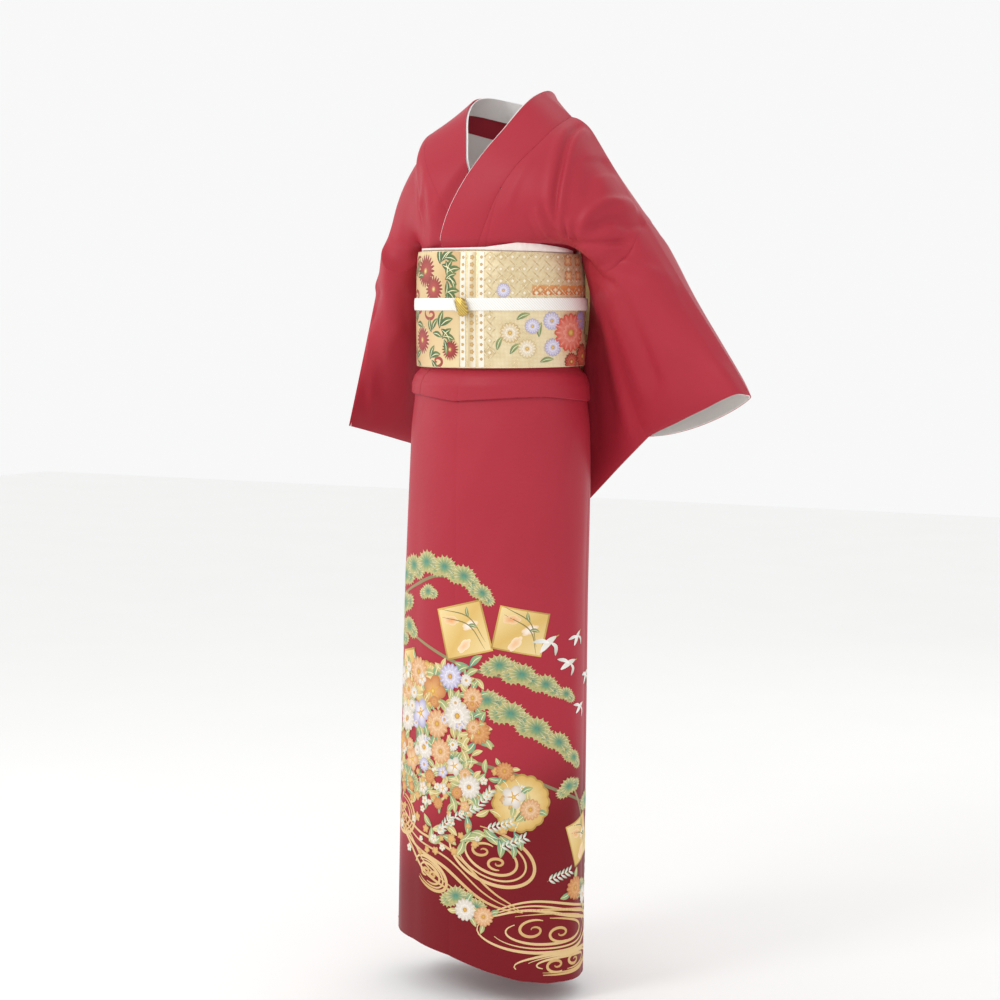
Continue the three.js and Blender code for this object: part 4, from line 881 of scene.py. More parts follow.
def dress_bodice():
    """Shells of the bodice, sleeves and collar, then the white pieces inside them."""
    pieces = bodice_pieces()
    for name, piece in pieces.items():
        collar, sleeve = name.startswith("collar"), "sleeve" in name
        keep = None
        if name == "front_right":
            rows, columns = piece["points"].shape[:2]
            row, column = np.indices((rows - 1, columns - 1))
            keep = (row < CHEST_ROWS * FINE + 4) | (
                column >= (SHOULDER_COLUMNS - UNDER_TUCK_COLUMNS) * FINE)
        sew(name, piece, COLLAR_SILK if collar else SILK,
            [CRIMSON, CRIMSON if collar else WHITE],
            SEWN_SIDES.get(name, "lt"), keep)
    for side in ("left", "right"):
        rows = (NAPE_COLUMNS + CHEST_ROWS) * FINE + 2
        collar = {key: grid[:rows] for key, grid in pieces["collar_" + side].items()}
        sew("under_collar_" + side, under_collar(collar), WHITE_SILK, [COLLAR_WHITE])
        lining = cuff_lining(pieces[f"sleeve_{side}_front"], pieces[f"sleeve_{side}_back"])
        sew("cuff_lining_" + side, lining, WHITE_SILK, [WHITE])


# ------------------------------------------------------------ skirt
def skirt_panel(columns, angle_at, hem=HEM, lapped=False):
    """A panel between two angles: rows from inside the tuck to the hem."""
    share = np.linspace(0, 1, columns + 1)[None, :]
    fixed = np.r_[np.linspace(SKIRT_TOP, SASH_FOOT, 4), np.linspace(SASH_FOOT - 3, SKIRT_FREE, 14)]
    fall = np.linspace(0, 1, 100)[1:]
    last = read(hem, angle_at(share, float(SKIRT_RINGS[-1][0])) + 0 * share)
    z = np.vstack([np.broadcast_to(fixed[:, None], (len(fixed), columns + 1)),
                   SKIRT_FREE + (last - SKIRT_FREE) * fall[:, None]])
    angle = angle_at(share, z) + 0 * z
    out = -UNDER_SKIRT_LAP * smooth_step(176, 200, angle) if lapped else 0 * angle
    return on_skirt(angle, z, out)


def dress_skirt():
    """Six panels between the seams, from the left front's edge round to the right front's."""
    def seam(z):
        return read(OVERLAP_SEAM, z) + 2.5 * smooth_step(-SKIRT_FREE, 700, -np.asarray(z, float))

    def plain(start, end):
        return lambda share, z: start + (end - start) * share
    side = 180 - SIDE_SEAM
    grids = {
        "skirt_back_left": skirt_panel(56, plain(SIDE_SEAM, 90)),
        "skirt_back_right": skirt_panel(56, plain(90, side)),
        "skirt_front_left": skirt_panel(72, lambda s, z: seam(z) + (SIDE_SEAM - seam(z)) * s),
        "skirt_overlap_left": skirt_panel(
            40, lambda s, z: FRONT_EDGE + (seam(z) - FRONT_EDGE) * s),
        "skirt_front_right": skirt_panel(60, plain(side, UNDER_OVERLAP_SEAM), UNDER_HEM, True),
        "skirt_overlap_right": skirt_panel(
            40, plain(UNDER_OVERLAP_SEAM, UNDER_EDGE + 360), UNDER_HEM, True),
    }
    sewn = {"skirt_overlap_left": "r", "skirt_overlap_right": "l"}
    pieces = {name: piece_of(grid) for name, grid in grids.items()}
    share_seams(list(pieces.values()))
    for name, piece in pieces.items():
        sew(name, piece, SILK, [CRIMSON, CRIMSON_INNER],
            sewn.get(name, "lr"))


# ------------------------------------------------------------ sash set
def sash_top(angle):
    return -219 + 3.5 * np.cos(np.radians(angle + 130))


def sash_bottom(angle):
    return -392 - 2 * np.cos(np.radians(angle + 110))


def sash_strip(angles, shares, height_at, inset_at):
    """A strip round the body on the sash rings."""
    angle, share = np.broadcast_arrays(angles[None, :], shares[:, None])
    return piece_of(on_ring(SASH_RINGS, angle, height_at(angle, share), inset_at(angle, share)))


def across_back(profile, half_width, rows, columns):
    """A line of (y, z) points carried straight across the back."""
    line = line_through(profile)(np.linspace(0, 1, rows))
    x = np.linspace(-half_width, half_width, columns)
    points = np.stack(np.broadcast_arrays(x[None, :], line[:, :1], line[:, 1:]), -1)
    return piece_of(points.astype(float), [0, 150, -300])


DRUM = [[107.5, -240], [116, -222], [125, -206], [132, -191], [150, -182], [180, -186],
        [201, -206], [208, -250], [209, -320], [204, -374], [186, -402], [156, -411],
        [128, -407], [117, -390], [115.5, -318]]
TAIL = [[109.2, -300], [109.2, -385], [112.6, -404], [113, -430]]
WRAP_START, WRAP_END = 100, 766                  # angles: the wrap goes round 1.85 times
HAND_START, HAND_END = 36, 144
SCARF_START, SCARF_END = -150, -3
CORD_MIDDLE, CORD_HEIGHT, KNOT_ANGLE = -297, 18.5, -94
SCARF_TOP = [[-150, -212.5], [-140, -211], [-100, -211.5], [-78, -211], [-56, -204.5],
             [-40, -206.5], [-20, -212], [-3, -216]]
SCARF_PROFILE = [[0, -18, 0], [0, 0.4, 0], [0, 1.8, 4.2], [1, 0, 4.6], [1, -0.4, 3.2]]
SCARF_BACK = [[107, -214], [107.5, -200], [111, -190.5], [116, -188], [120, -191], [121, -197]]
SCARF_BACK_HALF = 118
KNOT = [[-15, -285], [1, -288], [9, -312], [-7, -316]]
LOOP = [[-30, -289], [-16, -290], [-10, -309.5], [-17, -305], [-26, -300]]


def sash_piece(name, piece, seams="tb", dip=0.45):
    sew(name, piece, BROCADE, [GOLD], seams, dip=dip)


def dress_sash():
    """The wrap round the body, the drum and the tail across the back, and the hand."""
    sash_piece("sash_wrap", sash_strip(
        np.linspace(WRAP_START, WRAP_END, 312), np.linspace(0, 1, 27),
        lambda a, s: sash_top(a) + (sash_bottom(a) - sash_top(a)) * s,
        lambda a, s: BROCADE / 2 + 0.1 + (BROCADE + 0.4) * smooth_step(0, 50, 450 - a)),
        dip=0.5)
    sash_piece("sash_drum", across_back(DRUM, 145, 100, 48), seams="lr", dip=0.4)
    sash_piece("sash_tail", across_back(TAIL, 140, 24, 48), seams="lr", dip=0.4)
    sash_piece("sash_hand", sash_strip(
        np.linspace(HAND_START, HAND_END, 60), np.linspace(0, 1, 20),
        lambda a, s: -246 - 138 * s, lambda a, s: -BROCADE / 2 - 0.4 + 0 * a))


def rounded_plate(outline, front, depth):
    """A flat knot of braid: its outline, its corners cut twice by an eighth of each side,
    drawn in by a fifth towards the front and back faces."""
    ring, cut = np.array(outline, float), 0.12
    for _ in range(2):
        after = np.roll(ring, -1, 0)
        ring = np.stack([(1 - cut) * ring + cut * after, cut * ring + (1 - cut) * after],
                        1).reshape(-1, 2)
    middle = ring.mean(0)
    turn = np.linspace(-1, 1, 15)
    shares = np.r_[0.02, (1 - np.abs(turn)**4)[1:-1] * 0.2 + 0.8, 0.02]
    depths = front + depth / 2 + depth / 2 * np.sign(turn) * np.abs(turn)**0.8
    levels = middle + (ring - middle)[None] * shares[:, None, None]
    points = np.stack([levels[..., 0], np.broadcast_to(depths[:, None], levels.shape[:2]),
                       levels[..., 1]], -1)
    number = np.arange(levels[..., 0].size).reshape(levels.shape[:2])
    faces = cells(np.c_[number, number[:, 0]]).reshape(-1, 4)
    vertices = points.reshape(-1, 3)
    return vertices, turned_outwards(vertices, faces)


def dress_cord():
    """The flat braid round the sash, over the hand at the back, and its knot and loop."""
    def over_hand(angle):
        return (BROCADE + 0.8) * smooth_step(18, 34, angle) * smooth_step(0, 16, 162 - angle)
    cord = sash_strip(KNOT_ANGLE + 4 + 352 * np.linspace(0, 1, 260), np.linspace(0, 1, 9),
                      lambda a, s: CORD_MIDDLE + CORD_HEIGHT * (0.5 - s),
                      lambda a, s: -BRAID / 2 - 0.5 - over_hand(a) + 0.7 * (2 * s - 1)**4)
    shell("sash_cord_braid", "sash_cord", cord, BRAID * 0.9, [BRAID_WHITE], "")
    for node, outline, front, depth, material, slot in (
            ("cord_knot", KNOT, -115, 9, BRAID_GOLD, "gold_braid"),
            ("cord_loop", LOOP, -113, 6, BRAID_WHITE, "white_braid")):
        vertices, faces = rounded_plate(outline, front, depth)
        made = make_object(node + "_braid", vertices, faces, [material], uv=vertices[:, [0, 2]])
        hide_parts(node)


def dress_scarf():
    """The scarf's puffed edge above the sash in front, and its fold over the drum's top."""
    angle = np.linspace(SCARF_START, SCARF_END, 148)[None, :]
    puff = smooth_step(SCARF_START, -138, angle) * smooth_step(0, 19, SCARF_END - angle)
    profile = line_through(SCARF_PROFILE)(np.linspace(0, 1, 26))
    share = np.clip(profile[:, :1], 0, 1)
    base = sash_top(angle) + (read(SCARF_TOP, angle) - sash_top(angle)) * share
    crinkle = 0.35 * np.sin(angle * 1.3 + 2 * np.sin(angle * 0.37)) * share
    front = on_ring(SASH_RINGS, angle, base + profile[:, 1:2],
                    BROCADE * 2 + 2.1 - profile[:, 2:] * puff + crinkle)
    line = line_through(SCARF_BACK)(np.linspace(0, 1, 30))
    x = np.linspace(-SCARF_BACK_HALF, SCARF_BACK_HALF, 80)[None, :]
    ripple = 0.4 * np.sin(x * 0.5 + np.sin(x * 0.17))
    back = np.stack(np.broadcast_arrays(x, line[:, :1] + ripple * 0.5, line[:, 1:] - 8 * (
        x / SCARF_BACK_HALF)**2 + ripple), -1)
    for name, piece in (("scarf_front", piece_of(front)),
                        ("scarf_back", piece_of(back, [0, 130, -230]))):
        sew(name, piece, CREPE, [SCARF])


dress_bodice()
dress_skirt()
dress_sash()
dress_cord()
dress_scarf()


# ------------------------------------------------------------ painted and woven figures
LIFT, LAYER_STEP = 0.85, 0.055                   # first layer above the cloth's middle, mm


def colours_between(first, second, shares):
    """Linear colours faded from one hex colour to another."""
    a, b = np.array(linear(first)[:3]), np.array(linear(second)[:3])
    return a + (b - a) * np.asarray(shares)[..., None]


def stroke(points, width, first, second=None, layer=3, steps=14, taper=0.6):
    """A brush stroke: three points across a smooth line, its half width a sine of the way
    along to the power `taper`; the colour fades along it."""
    path = line_through(points)(np.linspace(0, 1, steps))
    way = unit(np.gradient(path, axis=0))
    share = np.linspace(0, 1, steps)
    half = width / 2 * np.sin(np.pi * np.clip(share, 0.02, 0.98))**taper
    side = np.stack([-way[:, 1], way[:, 0]], 1) * half[:, None]
    grid = path[:, None] + side[:, None] * np.array([1.0, 0, -1])[None, :, None]
    colour = colours_between(first, second or first, share)
    return grid, np.repeat(colour[:, None], 3, 1), layer


def disc(centre, radius, first, second, lobes=0, depth=0.0, layer=2, turn=0.0, squash=1.0,
         rings=5, spiky=False):
    """A round figure on rings: its reach is less `depth` between rounded or pointed lobes;
    the colour fades from the middle to the rim."""
    steps = lobes * (4 if lobes > 6 else 6) or 28
    theta = np.linspace(0, 2 * np.pi, steps + 1)
    wave = np.abs(np.cos(lobes * theta / 2))
    reach = radius * (1 - depth * (wave**0.5 if spiky else 1 - wave))
    share = np.r_[0.001, np.linspace(0, 1, rings + 1)[1:]]
    x, y = reach * np.cos(theta), reach * np.sin(theta) * squash
    c, s = math.cos(turn), math.sin(turn)
    ring = np.stack([c * x - s * y, s * x + c * y], -1)
    grid = np.array(centre, float) + ring[None] * share[:, None, None]
    colour = colours_between(first, second, share**1.5)
    return grid, np.repeat(colour[:, None], len(theta), 1), layer


def turned(points, angle, centre):
    c, s = math.cos(angle), math.sin(angle)
    return (np.array(points, float) @ np.array([[c, s], [-s, c]]) + np.array(centre)).tolist()


def around(count, start=0.0):
    return [start + 2 * math.pi * k / count for k in range(count)]


def ray(centre, size, turn, shares, squash=1.0):
    """Points on a straight line out from a centre, at shares of a size."""
    return [[centre[0] + size * share * math.cos(turn),
             centre[1] + size * share * squash * math.sin(turn)] for share in shares]


def leaf(root, angle, length, width, first, second, layer=3):
    """A bent leaf from its root, with a lighter vein."""
    blade, vein = (turned([[start * length, 0], [length * 0.5, length * 0.08], [end * length, 0]],
                          angle, root) for start, end in ((0, 1), (0.05, 0.9)))
    return [stroke(blade, width, first, second, layer, 9, 0.8),
            stroke(vein, width * 0.14, "e9dfae", None, layer + 1, 7)]


def pine(centre, size, turn=0.0, layer=2):
    """A bough of three overlapping fans: pointed discs with an ochre rim and a teal heart, and
    pale needles from each foot."""
    made = []
    for step, (dx, dz, share) in enumerate(((-0.6, -0.1, 0.82), (0.62, -0.14, 0.78), (0, 0.1, 1))):
        foot = turned([[dx * size, dz * size]], turn, centre)[0]
        wide, up = share * size, layer + step * 0.8
        made += [disc(foot, wide, "7f9060", "bdb074", 15, 0.24, up, turn, 0.74, 4, True),
                 disc(foot, wide * 0.6, "4b8c78", "8d9c62", 11, 0.26, up + 0.5, turn, 0.72, 4,
                      True)]
        for angle in np.linspace(-0.6, math.pi + 0.6, 10):
            needle = turned(ray((0, 0), wide, angle, (0.08, 0.88), 0.72), turn, foot)
            made.append(stroke(needle, 1.5, "3d6b54", "ece0b0", up + 1, 4))
    return made


def chrysanthemum(centre, size, first, second, heart="e0b04a", layer=5, petals=14):
    """Two rounds of petals, each a stroke from the heart, over a scalloped disc."""
    made = [disc(centre, size, first, second, petals, 0.16, layer)]
    made += [stroke(ray(centre, size, turn, (0.22, 0.55, 0.9)), size * 0.09, second, first,
                    layer + 1, 5, 0.5) for turn in around(petals)]
    return made + [disc(centre, size * 0.5, second, first, 9, 0.2, layer + 2, 0.3, rings=3),
                   disc(centre, size * 0.2, heart, "b97f2c", 8, 0.15, layer + 3, rings=2)]


def plum(centre, size, first, second, layer=5, turn=0.0):
    """Five round petals and a star of stamens."""
    return [disc(centre, size, first, second, 5, 0.32, layer, turn, rings=4),
            *(stroke(ray(centre, size, angle, (0, 0.55)), size * 0.1, "d9a13f", None, layer + 1, 4)
              for angle in around(5, turn + math.pi / 5)),
            disc(centre, size * 0.16, "f0d27a", "c98f2e", 0, 0, layer + 2, rings=1)]


def plover(centre, size, turn, layer=6):
    """A small white bird: body, two wings and a beak."""
    parts = [([[-1, 0], [0, 0.16], [0.75, 0.1]], 0.5, "f4f1ea", "d9d3c4"),
             ([[0, 0.1], [-0.35, 0.6], [-0.95, 1.0]], 0.34, "fbf9f4", "c9cbbf"),
             ([[0.1, 0.05], [0.2, -0.5], [-0.25, -1.0]], 0.3, "efece2", "b7b8a8"),
             ([[0.7, 0.08], [1.0, 0.02]], 0.1, "d8a24a", "b8862f")]
    return [stroke(turned(np.array(line) * size, turn, centre), wide * size, a, b, layer + i)
            for i, (line, wide, a, b) in enumerate(parts)]


def card(corners, first, second, layer=2, columns=12, rows=12):
    """A four-cornered paper slip: straight rows between its two long sides."""
    a, b, c, d = (np.array(p, float) for p in corners)
    u = np.linspace(0, 1, columns)[None, :, None]
    v = np.linspace(0, 1, rows)[:, None, None]
    grid = (a * (1 - u) + b * u) * (1 - v) + (d * (1 - u) + c * u) * v
    share = (u[..., 0] + v[..., 0]) / 2
    return grid, colours_between(first, second, np.abs(2 * share - 1)), layer


def upright(left, right, top, bottom, *rest):
    """A card with level and upright sides."""
    return card([[left, top], [right, top], [right, bottom], [left, bottom]], *rest)


def curl(centre, size, turn, hand, width, layer=2, turns=1.6, first="dcb47a", second="c89a5c"):
    """A wave's curl: a spiral whose reach shrinks evenly, its line thinning inwards."""
    t = np.linspace(0, 1, 34)
    reach = size * (1 - 0.88 * t)
    angle = turn + hand * turns * 2 * np.pi * t
    line = np.stack([centre[0] + reach * np.cos(angle),
                     centre[1] + 0.62 * reach * np.sin(angle)], 1)
    return stroke(line, width, first, second, layer, 60, 0.35)


WATER = "e3c08c", "cfa468"


def current(points, count, gap, width, layer=1):
    """Lines of running water: together at both ends and apart between them."""
    share = np.linspace(0, 1, 14)
    path = line_through(points)(share)
    way = unit(np.gradient(path, axis=0))
    side = np.stack([-way[:, 1], way[:, 0]], 1) * np.sin(np.pi * share)[:, None]**0.7
    return [stroke(path + side * gap * (k - (count - 1) / 2), width * (1, 0.6, 0.8)[k % 3],
                   *WATER, layer, 70, 0.45) for k in range(count)]


def eddy(centre, wide, high, tilt, hand, layer=1):
    """A pool of the current: nested open ovals with thin ends, round two curls."""
    made = []
    t = np.linspace(0, 1, 26)[:, None]
    for share, width, start, turns in ((1, 5.4, 0.46, 0.86), (0.8, 3, 0.56, 0.78),
                                       (0.58, 4.4, 0.4, 0.84)):
        angle = 2 * np.pi * hand * (start + turns * t)
        oval = np.hstack([np.cos(angle) * wide, np.sin(angle) * high]) * (share + 0.08 * t)
        made.append(stroke(turned(oval, tilt, centre), width, *WATER, layer, 70, 0.4))
    for along, size, way in ((-0.2, 0.24, hand), (0.22, 0.2, -hand)):
        spot = turned([[along * wide, 0.1 * high * way]], tilt, centre)[0]
        made.append(curl(spot, size * (wide + high) * 0.8, tilt + way, way, 4.4, layer, 1.3))
    return made


def scattered(rng, count, low, high, apart):
    """Random places in a box, none nearer than `apart` mm to another."""
    places = []
    for spot in rng.uniform(low, high, (count * 8, 2)):
        if all(math.dist(spot, other) > apart for other in places) and len(places) < count:
            places.append((float(spot[0]), float(spot[1])))
    return places


def painting(name, figures, face, material, limits=None):
    """All figures as one thin layered skin: every grid point is carried to the cloth's face,
    raised by its layer."""
    flat, colours, lifts, faces, start = [], [], [], [], 0
    for grid, colour, layer in figures:
        rows, columns = grid.shape[:2]
        number = start + np.arange(rows * columns).reshape(rows, columns)
        faces.append(cells(number).reshape(-1, 4))
        flat.append(grid.reshape(-1, 2))
        colours.append(colour.reshape(-1, 3))
        lifts.append(np.full(rows * columns, LIFT + LAYER_STEP * layer))
        start += rows * columns
    flat, lifts, faces = np.vstack(flat), np.concatenate(lifts), np.vstack(faces)
    if limits:
        flat[:, 0] = np.clip(flat[:, 0], *limits)
    points, outward = face(flat[:, 0], flat[:, 1], lifts)
    corners = points[faces]
    normal = np.cross(corners[:, 2] - corners[:, 0], corners[:, 3] - corners[:, 1])
    back = np.einsum("ij,ij->i", normal, outward[faces[:, 0]]) < 0
    faces[back] = faces[back][:, ::-1]
    faces = faces[length_of(normal)[:, 0] > 1e-7]
    made = make_object(name, points, faces, [material], colour=np.vstack(colours))


def angle_along(across, rings, z, start):
    """The angle at a way along the ring of height `z` from the angle `start`."""
    angle = np.arange(start, start + 361.0, 1.0)
    points = on_ring(rings, angle, np.full_like(angle, z))
    reach = np.r_[0, np.cumsum(length_of(np.diff(points, axis=0)))]
    return np.interp(across, reach, angle)


def outwards(angle):
    turn = np.radians(angle)
    return np.stack([np.cos(turn), np.sin(turn), 0 * turn], -1)


def skirt_face(across, z, lift):
    """From mm round the skirt from its front edge, and height, to the outer cloth."""
    angle = angle_along(across, SKIRT_RINGS, -1000, FRONT_EDGE)
    return on_skirt(angle, np.maximum(z, read(HEM, angle) + 4), lift), outwards(angle)


def sash_face(across, z, lift):
    """From mm round the sash from its left front, and height, to its outer face."""
    angle = angle_along(across, SASH_RINGS, -300, -150.0)
    z = np.clip(z, sash_bottom(angle) + 1.2, sash_top(angle) - 1.2)
    return on_ring(SASH_RINGS, angle, z, 0.65 - lift), outwards(angle)


def drum_face(across, z, lift):
    """From mm across and height to the drum's outer back face."""
    line = line_through(DRUM)(np.linspace(0, 1, 400))
    rear = line[line[:, 0] > 195]
    y = read(rear[:, ::-1], z) + 0.25 + lift
    return np.stack([across, y, z], -1), np.stack([0 * z, 0 * z + 1, 0 * z], -1)


# ------------------------------------------------------------ hem painting
# Places are mm round the skirt from its front edge, and height. Colours are middle and rim.
PEACH, ORANGE = ("eac79f", "cf8c58"), ("dda468", "b9713c")
WHITE_DYE, LILAC = ("f3ebe0", "cbbfb0"), ("e9e3ee", "a29cc0")
GREENS = ("7d9a6a", "c3bb7c"), ("4f8f7c", "a3ad6c"), ("b09c5c", "dcc88a")
LEAF_DYE, FERN_DYE = ("54704a", "98a069"), ("f4f0e4", "8fa58a")
BRANCHES = [[[4, -755], [60, -730], [120, -712], [190, -728]],
            [[6, -800], [70, -816], [170, -850], [262, -868], [330, -888]],
            [[110, -880], [200, -906], [290, -950], [362, -1000]],
            [[8, -905], [80, -955], [170, -990], [250, -1012], [330, -1046], [440, -1100]],
            [[30, -860], [60, -930], [74, -1000], [96, -1060]],
            [[340, -1030], [372, -1090], [380, -1160]]]
BOUGHS = [(16, -722, 27, 0.3), (46, -704, 25, -0.2), (84, -696, 27, 0.1), (124, -700, 25, -0.1),
          (160, -712, 24, -0.3), (192, -736, 19, -0.5), (18, -766, 25, 0.5), (36, -800, 22, -0.2),
          (10, -822, 20, 0.3), (90, -740, 17, 0.1), (222, -846, 24, 0.1), (256, -860, 25, -0.2),
          (294, -876, 22, -0.3), (328, -892, 15, -0.4), (204, -900, 24, 0.1),
          (240, -920, 27, -0.2), (280, -944, 26, -0.4), (316, -966, 22, -0.5),
          (344, -992, 17, -0.6), (18, -1024, 25, 0.3), (56, -1042, 22, -0.2),
          (146, -996, 22, 0.1), (336, -1036, 19, 0.4), (398, -1070, 24, -0.2),
          (432, -1094, 20, -0.5), (156, -1208, 23, 0.2), (190, -1222, 20, -0.3),
          (372, -1200, 19, 0.3), (560, -1180, 22, 0.2), (600, -1194, 19, -0.2),
          (640, -1184, 17, 0.3)]
CURRENTS = [([[0, -1070], [60, -1122], [140, -1150], [206, -1200], [262, -1226]], 3, 15, 5),
            ([[0, -1102], [46, -1126], [96, -1172], [170, -1206]], 2, 11, 4.4),
            ([[190, -1238], [270, -1216], [370, -1236], [470, -1262], [560, -1254]], 3, 9, 5),
            ([[440, -1270], [540, -1290], [660, -1272], [760, -1290], [832, -1276]], 3, 12, 4.6)]
EDDIES = [((210, -1140), 70, 38, -0.4, 1), ((30, -1096), 34, 28, -0.5, 1),
          ((104, -1178), 36, 20, -0.5, -1), ((300, -1258), 108, 32, -0.05, 1),
          ((334, -1310), 84, 16, 0.0, -1), ((520, -1244), 58, 24, 0.1, -1),
          ((640, -1250), 64, 26, -0.1, 1), ((760, -1246), 56, 24, 0.1, -1)]
SLIPS = [[[112, -764], [190, -744], [212, -822], [134, -842]],
         [[20, -838], [56, -830], [50, -924], [14, -930]],
         [[330, -1098], [388, -1080], [408, -1146], [350, -1164]],
         [[222, -752], [300, -766], [286, -832], [208, -818]],
         [[470, -1130], [534, -1142], [524, -1202], [460, -1190]]]
ROUNDELS = [(258, -1056, 46), (90, -884, 38)]
FLOWERS = [(70, -866, 24, PEACH), (106, -892, 27, ORANGE), (140, -866, 21, LILAC),
           (38, -944, 22, WHITE_DYE), (78, -930, 24, LILAC), (116, -942, 23, PEACH),
           (154, -926, 24, WHITE_DYE), (22, -984, 20, ORANGE), (88, -982, 22, WHITE_DYE),
           (190, -948, 20, ORANGE), (246, -1046, 19, WHITE_DYE), (272, -1066, 17, PEACH),
           (176, -1034, 19, WHITE_DYE), (56, -1006, 19, PEACH), (352, -1196, 19, ORANGE),
           (384, -1214, 16, WHITE_DYE), (430, -1150, 18, LILAC), (172, -1226, 18, WHITE_DYE),
           (202, -1234, 16, PEACH), (590, -1218, 18, WHITE_DYE), (540, -1204, 16, ORANGE),
           (232, -1006, 14, ORANGE), (16, -880, 17, WHITE_DYE), (124, -984, 20, PEACH),
           (40, -898, 18, PEACH), (150, -1004, 15, WHITE_DYE), (180, -896, 17, PEACH)]
FERNS = [(150, -1086, 0.5), (204, -1098, 0.3), (120, -1116, 0.9), (226, -1126, 0.4),
         (300, -1180, 0.3), (414, -1190, 0.6), (186, -1070, 0.9)]
BIRDS = [(300, -812, 20, 0.7), (334, -846, 17, 0.4), (352, -806, 15, 0.9), (392, -872, 18, 0.6),
         (362, -916, 15, 0.5)]


def hem_pines():
    """Branches with boughs, and water low on the skirt, from the front edge to the back."""
    made = [stroke(line, 5, "9b8a5e", "6d6a4a", 1.4, 50, 0.3) for line in BRANCHES]
    for index, (x, z, size, turn) in enumerate(BOUGHS):
        made += pine((x, z), size, turn, 2 + 0.6 * (index % 6))
    for run in CURRENTS:
        made += current(*run)
    for pool in EDDIES:
        made += eddy(*pool)
    return made


def paper_slip(corners, layer):
    """A gold card inside a duller border, with three small blooms and two bent stems."""
    middle = np.mean(corners, 0)
    out = np.array(corners) - middle
    inner = middle + out * 0.93
    made = [card(corners, "a98542", "dcb15c", layer, 20, 14),
            card(inner.tolist(), "d9b062", "efd398", layer + 0.5, 20, 14)]
    for k, (dx, dz, first, second) in enumerate((
            (-0.4, 0.35, "e7a06a", "f3cfa0"), (0.3, 0.1, "fbf3e6", "ecc79a"),
            (-0.1, -0.45, "f0b98a", "f6dfba"))):
        spot = middle + (inner[1] - inner[0]) * dx * 0.6 + (inner[0] - inner[3]) * dz * 0.7
        made.append(disc(spot.tolist(), 15, first, second, 5, 0.2, layer + 0.8, 0.4 * k, 0.5, 3))
    for k in (-0.2, 0.2):
        line = [(middle + out[corner] * share + [0, k * 30]).tolist()
                for corner, share in ((0, 0.8), (1, 0.3), (2, 0.75))]
        made.append(stroke(line, 1.7, "6f6a3c", "8b7a45", layer + 1.2, 16))
        made += leaf(line[1], 0.8 + k * 5, 16, 6, *LEAF_DYE, layer + 1.2)
    return made


def roundel(x, z, radius):
    """A scalloped gold disc inside a duller rim, with three leaves."""
    made = [disc((x, z), radius, "e6c377", "ae893f", 16, 0.06, 6, rings=9),
            disc((x, z), radius * 0.93, "efd69c", "d3a655", 16, 0.06, 6.6, rings=9)]
    for k in range(3):
        made += leaf((x - 10 + 8 * k, z - radius * 0.6), 0.6 + 0.5 * k, 34, 9, *LEAF_DYE, 7.4)
    return made


def fern(place, turn):
    """A curved stem with six pairs of short white leaflets."""
    made = [stroke(turned([[0, 0], [20, 4], [44, -2]], turn, place), 1.6, "a39a6c", layer=8)]
    for along in range(0, 42, 7):
        for side in (8, -8):
            leaflet = turned([[4 + along, 1], [12 + along, side]], turn, place)
            made.append(stroke(leaflet, 3.6, *FERN_DYE, 8.6, 5))
    return made


def hem_flowers():
    """Gold-paper slips and roundels, chrysanthemums and plum among leaves, ferns and plovers."""
    made = []
    rng = np.random.default_rng(11)
    places = scattered(rng, 80, (8, -1058), (190, -846), 15) + scattered(
        rng, 24, (100, -1120), (250, -1010), 17)
    for index, spot in enumerate(places):
        turn, length = rng.uniform(0, 6.3), rng.uniform(20, 30)
        for shift in (0, 2.2):
            made += leaf(spot, turn + shift, length, length * 0.42, *GREENS[index % 3],
                         5 + 0.3 * (index % 5))
    for step, corners in enumerate(SLIPS):
        made += paper_slip(corners, 6.5 + step % 2)
    for place in ROUNDELS:
        made += roundel(*place)
    tones = (PEACH, WHITE_DYE, ORANGE, WHITE_DYE, LILAC)
    flowers = FLOWERS + [(*spot, float(rng.uniform(8, 12)), tones[k % 5]) for k, spot in enumerate(
        scattered(rng, 34, (10, -1070), (184, -856), 21))]
    for index, (x, z, size, tone) in enumerate(flowers):
        layer = 9 + 0.5 * (index % 8)
        for k in range(3):
            turn = index * 1.3 + k * 2.1
            made += leaf(ray((x, z), size, turn, (0.6,))[0], turn, size * 1.1, size * 0.5,
                         *GREENS[(index + k) % 3], layer - 1.5)
        bloom = chrysanthemum if index % 3 != 1 else plum
        made += bloom((x, z), size, *tone, layer=layer)
    for index, (x, z) in enumerate(scattered(rng, 70, (20, -1150), (270, -1000), 9)):
        if z > -1100 - (260 - x) * 0.35:
            tone = ("e6b87c", "b98a4a") if index % 3 else ("f3efe2", "c9c2a8")
            made += plum((x, z), 5 + index % 4, *tone, 8, index * 0.9)
    for x, z, turn in FERNS:
        made += fern((x, z), turn)
    for x, z, size, turn in BIRDS:
        made += plover((x, z), size, turn, 8)
    return made


